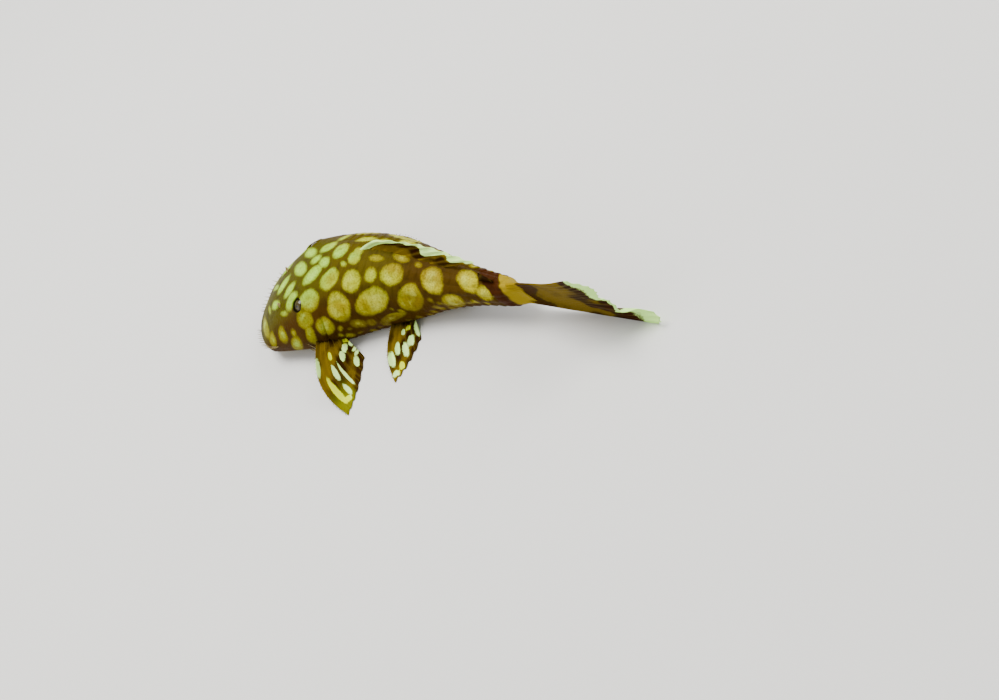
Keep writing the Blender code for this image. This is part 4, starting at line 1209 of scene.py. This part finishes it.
def tail_markings(across, down):
    """The pale and the dark mark. Pale is the seam along the edge, as wide as its list says. Dark are a
    band behind the tan root, a line inside the seam, two blotches with a light gap between them, the rear
    of the lower lobe and faint cross bands."""
    wide = np.interp(across, SEAM_ACROSS, SEAM_WIDTH)
    pale = np.maximum((1 - down) / wide - 1, (0.5 - down) * 8)
    tan_end = 0.06 + 0.10 * ease(across, 0.3, 0.9)
    band_end = 0.20 + 0.20 * ease(across, 0.45, 1.0)
    band = ease(down, tan_end, tan_end + 0.04) * ease(down, band_end + 0.04, band_end - 0.03)
    under_seam = hump(down, 1 - wide - 0.045, 0.045)
    upper_blotch = hump(down, 0.70, 0.13) * hump(across, 0.52, 0.16)
    lower_blotch = hump(down, 0.50, 0.08) * ease(across, 0.24, 0.06)
    light_gap = hump(np.hypot((down - 0.53) / 0.12, (across - 0.27) / 0.18), 0, 1.0)
    rear = ease(across, 0.44, 0.30) * ease(down, 0.60, 0.70)
    blotches = 0.7 * (upper_blotch + lower_blotch - 1.7 * light_gap)
    dark = 1.6 * band + 1.4 * under_seam + blotches + 1.4 * rear + 0.2 * np.sin(down * 26 + 2 * across)
    return pale, dark - 3.0 * ease(down, tan_end + 0.02, tan_end - 0.02)


def tail_fin():
    """The tail fin as a blade of its grid, thickness and marks."""
    across, down, grid = tail_grid()
    thick = tail_thickness(across, down)
    pale, dark = tail_markings(across, down)
    return fin_piece("tail_fan", place(*grid), thick, across, down, TAIL_RAYS, pale, dark, 24.0)


fins["tail_fin"] = tail_fin()
print("tail fin:", len(fins["tail_fin"].data.polygons), "faces")

# %% [markdown]
# ## Painting the fins
# All fins share one finish: olive-brown skin, darker where the dark mark is high, and mint white inside
# the dashes and the edge. The tail's edge is a greener mint, and the tip of the pectoral fin is olive,
# which the distance from the root tells apart. The rays are a little paler than the skin between them,
# and fine cross lines show that they are made of joints.

# %% Fin finish
LIGHT_WEB, DARK_WEB, DEEP_WEB = tint(104, 84, 7), tint(46, 29, 3), tint(50, 23, 2)
OLIVE_TIP, TAN_ROOT = tint(104, 112, 8), tint(140, 116, 14)
PALE_RAY, RAY_JOINT = tint(106, 88, 12), tint(36, 26, 5)
FIN_MINT, DEEP_MINT = tint(216, 255, 150), tint(196, 250, 120)
TAIL_MINT, WARM_DASH = tint(205, 255, 140), tint(206, 218, 2)
web = Finish("banded fin", 0.42, Specular_IOR_Level=0.015)
pale_edge, darkness, on_ray, warmth = web.mark("pale"), web.mark("dark"), web.mark("ray"), web.mark("warm")
outward = web.mark("outward")
cloud, grit = web.noise(1.6, 3), web.noise(0.3, 2)
dash = (pale_edge + (grit - 0.5) * 0.5 + (cloud - 0.5) * 0.4).step(0.12, -0.22)
shade = (darkness + (cloud - 0.5) * 0.9).step(-0.1, 0.75)
membrane = web.blend(shade, LIGHT_WEB, DARK_WEB)
membrane = web.blend(darkness.step(0.9, 1.6), membrane, DEEP_WEB)
membrane = web.blend(warmth.step(1.2, 0.2) * outward.step(14, 18) * 0.7, membrane, OLIVE_TIP)
membrane = web.blend(on_ray * 0.35, membrane, PALE_RAY)
membrane = web.blend((darkness + cloud).step(-0.7, -1.1), membrane, TAN_ROOT)
joints = (outward * 9.0).sine().step(0.55, 0.95)
membrane = web.blend(joints * on_ray * 0.30, membrane, RAY_JOINT)
white = web.blend(cloud.step(0.35, 0.65) * 0.5, FIN_MINT, DEEP_MINT)
white = web.blend(outward.step(20.0, 20.8), white, TAIL_MINT)
white = web.blend((warmth + cloud * 0.4).step(0.45, 0.0), white, WARM_DASH)
web.paint(Base_Color=web.blend(dash, membrane, white), Roughness=0.46 - dash * 0.08)
web.bumps(joints * on_ray * 0.6 + grit * 0.5, 0.03)
for fin in fins.values():
    fin.data.materials.append(web.material)
print("fin finish:", len(web.tree.nodes), "nodes")

# %% [markdown]
# ## Bristles and spines
# The name comes from the row of soft bristles round the edge of the snout, short and fine in a young
# fish. Hooked spines stand on the cheek, and the stout front rays of the paired fins carry rows of tiny
# teeth. All are the same thing: a tapered tube along a bent line, many at once in one mesh.

# %% Bristles and spines
BRISTLES_A_SIDE, SPINES_A_SIDE, RAY_TEETH, RAY_TOOTH_WIDTH = 15, 9, 46, 0.055
NEARLY_UP = (0.13, 0.21, 1.0)


def horns(roots, runs, bends, lengths, widths, rings=9, around=8, sunk=0.3):
    """Tapered tubes, one per row, in mm: the middle line is the root, plus the direction times the way
    along, plus the bend times the square of the share, and the width falls faster towards the tip."""
    share = np.linspace(0, 1, rings)[None, :, None]
    turn = np.arange(around) * 2 * math.pi / around
    runs = unit(runs)
    lengths, widths = (np.asarray(v, float)[:, None, None] for v in (lengths, widths))
    way = share * (lengths + sunk) - sunk
    middle = roots[:, None] + (runs[:, None] * way + bends[:, None] * share**2) * MM
    heading = runs[:, None] * lengths + 2 * bends[:, None] * share
    aside = unit(np.cross(heading, NEARLY_UP))
    over = unit(np.cross(aside, heading))
    ring = np.cos(turn)[:, None] * aside[:, :, None] + np.sin(turn)[:, None] * over[:, :, None]
    return middle[:, :, None] + (widths * (1 - 0.88 * share**1.7))[:, :, None] * MM * ring


def skin_horns(places, lean, bend, sunk=0.3):
    """Horns on the skin from rows of column, angle, length and width. The lean tells how much of the
    direction runs along the body, and the bend how far the tip curves up."""
    rows = []
    for column, angle, length, width in places:
        point, out, along = skin_frame(column, angle)
        rows.append((point, out + lean * along, (0, 0, bend * length), length, width))
    columns = [np.array(part, float) for part in zip(*rows)]
    return horns(*columns, sunk=sunk)


def bristle_rows(side, count=BRISTLES_A_SIDE):
    """A row round the edge of the snout, longer towards the cheek, and every other one a little longer."""
    for i in range(count):
        share = i / (count - 1)
        length = 0.55 + 0.62 * share + 0.24 * (i % 2)
        yield 0.006 + 0.100 * share**1.6, side * (1.05 + 0.32 * share), length, 0.085 + 0.035 * share


def cheek_rows(side, count=SPINES_A_SIDE):
    """A tuft of hooked spines behind the cheek."""
    for i in range(count):
        length = 1.5 + 0.45 * (i % 3)
        yield 0.228 + 0.006 * (i % 3), side * (1.46 + 0.055 * i), length, 0.11


snout_bristles, cheek_spines = (
    joined_tubes(name, np.concatenate([skin_horns(rows(side), lean, bend) for side in SIDES.values()]))
    for name, rows, lean, bend in (
        ("snout_bristles", bristle_rows, -0.5, 0.30),
        ("cheek_spines", cheek_rows, 1.7, -0.10),
    )
)


def ray_teeth(name, side, kind):
    """Tiny teeth in two rows along the front ray of a paired fin, which point out and towards its tip."""
    _, down, _, middle = paired_middle(side, kind)
    at = np.linspace(6, len(middle) - 3, RAY_TEETH).astype(int)
    line, next_ray = middle[at, 1], middle[at, 6]
    tipward = unit(middle[at + 1, 1] - line)
    away = unit(line - next_ray)
    lift = np.tile([[0, 0, 0.55], [0, 0, 0.05]], (RAY_TEETH // 2, 1))
    roots = line + away * 0.25 * MM + lift * 0.5 * MM
    size = kind["teeth"] * (0.7 + 0.3 * np.sin(np.arange(RAY_TEETH) * 2.4)) * (0.6 + 0.4 * down[at, 0])
    widths = np.full(RAY_TEETH, RAY_TOOTH_WIDTH)
    grids = horns(roots, away + 1.1 * tipward + lift, 0 * line, size, widths, 4, 5, 0.05)
    grids[..., 2] = np.maximum(grids[..., 2], 0.02 * MM)
    return joined_tubes(name, grids)


teeth_pieces = {}
for pair, kind in PAIRED.items():
    for word, side in SIDES.items():
        teeth_pieces[f"{pair}_fin_{word}"] = ray_teeth(f"{pair}_teeth_{word}", side, kind)
horn = Finish("horn", 0.38)
grain = horn.noise(0.5, 2)
horn.paint(Base_Color=horn.blend(grain.step(0.3, 0.7), tint(150, 132, 70), tint(92, 74, 30)))
horn.bumps(grain, 0.02)
for piece in (snout_bristles, cheek_spines, *teeth_pieces.values()):
    piece.data.materials.append(horn.material)
print("bristles:", len(snout_bristles.data.polygons), "faces")

# %% [markdown]
# ## The sucking mouth
# Under the snout lies a round lip that the fish presses on stones. Its face is covered with small warts,
# four short rows of fine teeth hang in the hollow, and a short feeler grows at each corner. The lip is a
# profile turned round the mouth's middle, and the warts are waves in two directions on it. The flaps
# behind the nostrils are made here too, because they are soft skin like the lip.

# %% Sucking mouth
MOUTH_STATION, MOUTH_LENGTH, MOUTH_WIDTH = 0.120, 0.082, 0.080
MOUTH_SHARE = (0.40, 0.84, 0.97, 1.00, 0.95, 0.66, 0.54, 0.22, 0.03)
MOUTH_HEIGHT = (1.10, 1.08, 0.72, 0.34, 0.0, 0.0, 0.45, 0.60, 0.62)
WARTS_ROUND, WART_HEIGHT, FOLDS_ROUND, FOLD_HEIGHT = 52, 0.055, 9, 0.06
TOOTH_ROWS = (((0.100, 0.092), (0.006, 0.034)), ((0.120, 0.130), (0.006, 0.034)))
TOOTH_HEIGHT, TEETH_A_ROW, TOOTH_LENGTH, TOOTH_WIDTH = 0.0088, 20, 0.36, 0.05
FEELER_HEIGHT, FEELER_LENGTH, FEELER_WIDTH = 0.0075, 1.9, 0.30
FLAP_HEIGHT, FLAP_HALF_WIDTH, FLAP_HALF_THICK = 1.15, 0.50, 0.13


def lip():
    """The profile's size and height as smooth curves, carried round: the station is the middle plus the
    length times the size times the cosine, and the left is the width times the size times the sine."""
    way = np.linspace(0, len(MOUTH_SHARE) - 1, 110)[:, None]
    turn = np.radians(np.arange(0, 360, 1.5))[None, :]
    knots = np.arange(len(MOUTH_SHARE))
    size = smooth_profile(way, knots, MOUTH_SHARE)
    height = np.maximum(smooth_profile(way, knots, MOUTH_HEIGHT), 0)
    warts = np.sin(WARTS_ROUND * turn + 3.0 * np.sin(8 * way)) * np.sin(way * 11)
    face = ease(way, 3.4, 4.0) * (1 - ease(way, 5.8, 6.6))
    fold = FOLD_HEIGHT * np.sin(FOLDS_ROUND * turn) * ease(way, 1.6, 2.4) * (1 - ease(way, 3.2, 3.8))
    height = height + face * WART_HEIGHT * (1 - warts) + fold
    station = MOUTH_STATION + MOUTH_LENGTH * size * np.cos(turn) * (1 + 0.08 * np.cos(turn))
    points = place(station, MOUTH_WIDTH * size * np.sin(turn), np.maximum(height, 0) * MM / STANDARD_LENGTH)
    marks = {"wart": face * (0.5 + 0.5 * warts), "size": size + 0 * turn}
    return tube("sucking_lip", points, marks)


def mouth_teeth():
    """Fine teeth in four short rows, each tooth a small horn that hangs from the hollow and hooks in."""
    share = np.linspace(0, 1, TEETH_A_ROW)
    roots = np.concatenate([
        place(between(stations, share), side * between(lefts, share), TOOTH_HEIGHT)
        for side in SIDES.values()
        for stations, lefts in TOOTH_ROWS
    ])
    inward = unit(place(0.110, 0, TOOTH_HEIGHT) - roots)
    down = np.tile(-UPWARD, (len(roots), 1))
    lengths, widths = np.full(len(roots), TOOTH_LENGTH), np.full(len(roots), TOOTH_WIDTH)
    return joined_tubes("mouth_teeth", horns(roots, down, 0.18 * inward, lengths, widths, 5, 5))


def feelers():
    """One tapered feeler at each corner of the mouth."""
    side = np.array(list(SIDES.values()))
    roots = place(MOUTH_STATION + 0.004, side * (MOUTH_WIDTH - 0.010), FEELER_HEIGHT)
    tips = place(MOUTH_STATION + 0.020, side * (MOUTH_WIDTH + 0.015), FEELER_HEIGHT)
    bends = np.array([[0.45, 0, 0], [0.45, 0, 0]])
    lengths, widths = (FEELER_LENGTH, FEELER_LENGTH), (FEELER_WIDTH, FEELER_WIDTH)
    return joined_tubes("feelers", horns(roots, tips - roots, bends, lengths, widths, 16, 12))


def nostril_flaps():
    """A low flap of skin behind each nostril. Each is a stack of flat ovals that grow narrower upwards and
    lean back: the half width falls with the square root of one less the height squared."""
    share = np.linspace(0, 1, 8)[:, None, None]
    turn = np.radians(np.arange(0, 360, 18))[:, None]
    wide, thin = FLAP_HALF_WIDTH * np.sqrt(1 - 0.92 * share**2), FLAP_HALF_THICK * (1 - 0.5 * share)
    flaps = []
    for side in SIDES.values():
        point, out, back = skin_frame(NOSTRIL_COLUMN + 0.010, side * NOSTRIL_ANGLE)
        across = np.cross(out, back)
        oval = wide * np.cos(turn) * across + thin * np.sin(turn) * back
        rise = FLAP_HEIGHT * share - 0.3
        flaps.append(point + (oval + rise * out + 0.45 * share**2 * back) * MM)
    points_in_all = len(flaps) * (len(share) * len(turn) + 2)
    return joined_tubes("nostril_flaps", np.array(flaps), {"size": np.ones(points_in_all)})


soft = Finish("pale lip", 0.42, Coat_Weight=0.15, Coat_Roughness=0.25)
wart, size = soft.mark("wart"), soft.mark("size")
mottle = soft.noise(1.1, 3)
flesh = soft.blend(size.step(0.62, 0.40), tint(190, 170, 112), tint(176, 118, 96))
flesh = soft.blend(mottle.step(0.5, 0.68) * 0.5, flesh, tint(120, 98, 52))
soft.paint(Base_Color=soft.blend(wart * 0.5, flesh, tint(222, 206, 160)))
soft.bumps(mottle, 0.04)
tooth = Finish("amber tooth", 0.3)
tooth.paint(Base_Color=tooth.blend(tooth.noise(0.3, 2), tint(196, 150, 84), tint(150, 96, 46)))
mouth_pieces = (lip(), mouth_teeth(), feelers())
flap_piece = nostril_flaps()
for piece, finish in zip((*mouth_pieces, flap_piece), (soft, tooth, soft, soft)):
    piece.data.materials.append(finish.material)
print("mouth:", sum(len(piece.data.polygons) for piece in mouth_pieces), "faces")

# %% [markdown]
# ## Floor and light
# A plain pale floor and big soft lamps show the form without hiding it. The brightest lamp hangs over the
# back, so the flank darkens downwards, a weaker one lifts the shadows from the camera's side, a third
# lights the tail and the far side, and the world gives an even grey so that no shadow is black.

# %% Floor, lamps and world
FLOOR_HALF, FLOOR_DROP = 1.5, 2e-5
paper = Finish("pale floor", 0.7)
speckle = paper.noise(30, 3)
paper.paint(Base_Color=paper.blend(speckle * 0.3, tint(226, 224, 218), tint(216, 213, 206)))
around = ((-1, -1), (1, -1), (1, 1), (-1, 1))
corners = np.array([[FLOOR_HALF * x, FLOOR_HALF * y, -FLOOR_DROP] for x, y in around])
floor = make_mesh("floor", corners, [np.array([[0, 1, 2, 3]])])
floor.data.materials.append(paper.material)


def lamp(name, at, size, power):
    """A square lamp that faces the fish."""
    data = bpy.data.lights.new(name, "AREA")
    data.shape, data.size, data.energy = "SQUARE", size, power
    made = bpy.data.objects.new(name, data)
    made.location = Vector(at)
    made.rotation_euler = (-Vector(at)).to_track_quat("-Z", "Y").to_euler()
    bpy.context.scene.collection.objects.link(made)


lamp("key", (-0.16, 0.12, 0.62), 0.40, 7.5)
lamp("fill", (-0.45, -0.40, 0.35), 0.50, 1.8)
lamp("rim", (0.45, 0.35, 0.35), 0.35, 2.4)
world = bpy.data.worlds.new("soft grey")
world.use_nodes = True
world.node_tree.nodes["Background"].inputs["Color"].default_value = (0.80, 0.82, 0.85, 1)
world.node_tree.nodes["Background"].inputs["Strength"].default_value = 0.68
bpy.context.scene.world = world
print("three lamps and a grey world")

# %% [markdown]
# ## Hand the pieces to the frame
# Each piece rides on the model's one body, and the solids that it stands for are hidden. The list also names
# a finish for each piece, but nothing here reads it.

# %% Attaching the pieces and hiding the solids
stands_for = [
    (skin, "spotted_skin", ("head", "trunk", "tail")),
    *[(eye, "eye_glass", ("eye_" + word,)) for word, eye in eyes.items()],
    *[(piece, "lip_skin", ("sucker_mouth",)) for piece in mouth_pieces],
    *[(piece, "spotted_skin", ("head",)) for piece in (snout_bristles, flap_piece, cheek_spines)],
    *[(fin, "fin_skin", (node,)) for node, fin in fins.items()],
    *[(piece, "fin_skin", (node,)) for node, piece in teeth_pieces.items()],
]
for piece, finish, nodes in stands_for:
    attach(piece, "root")
    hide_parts(*nodes)
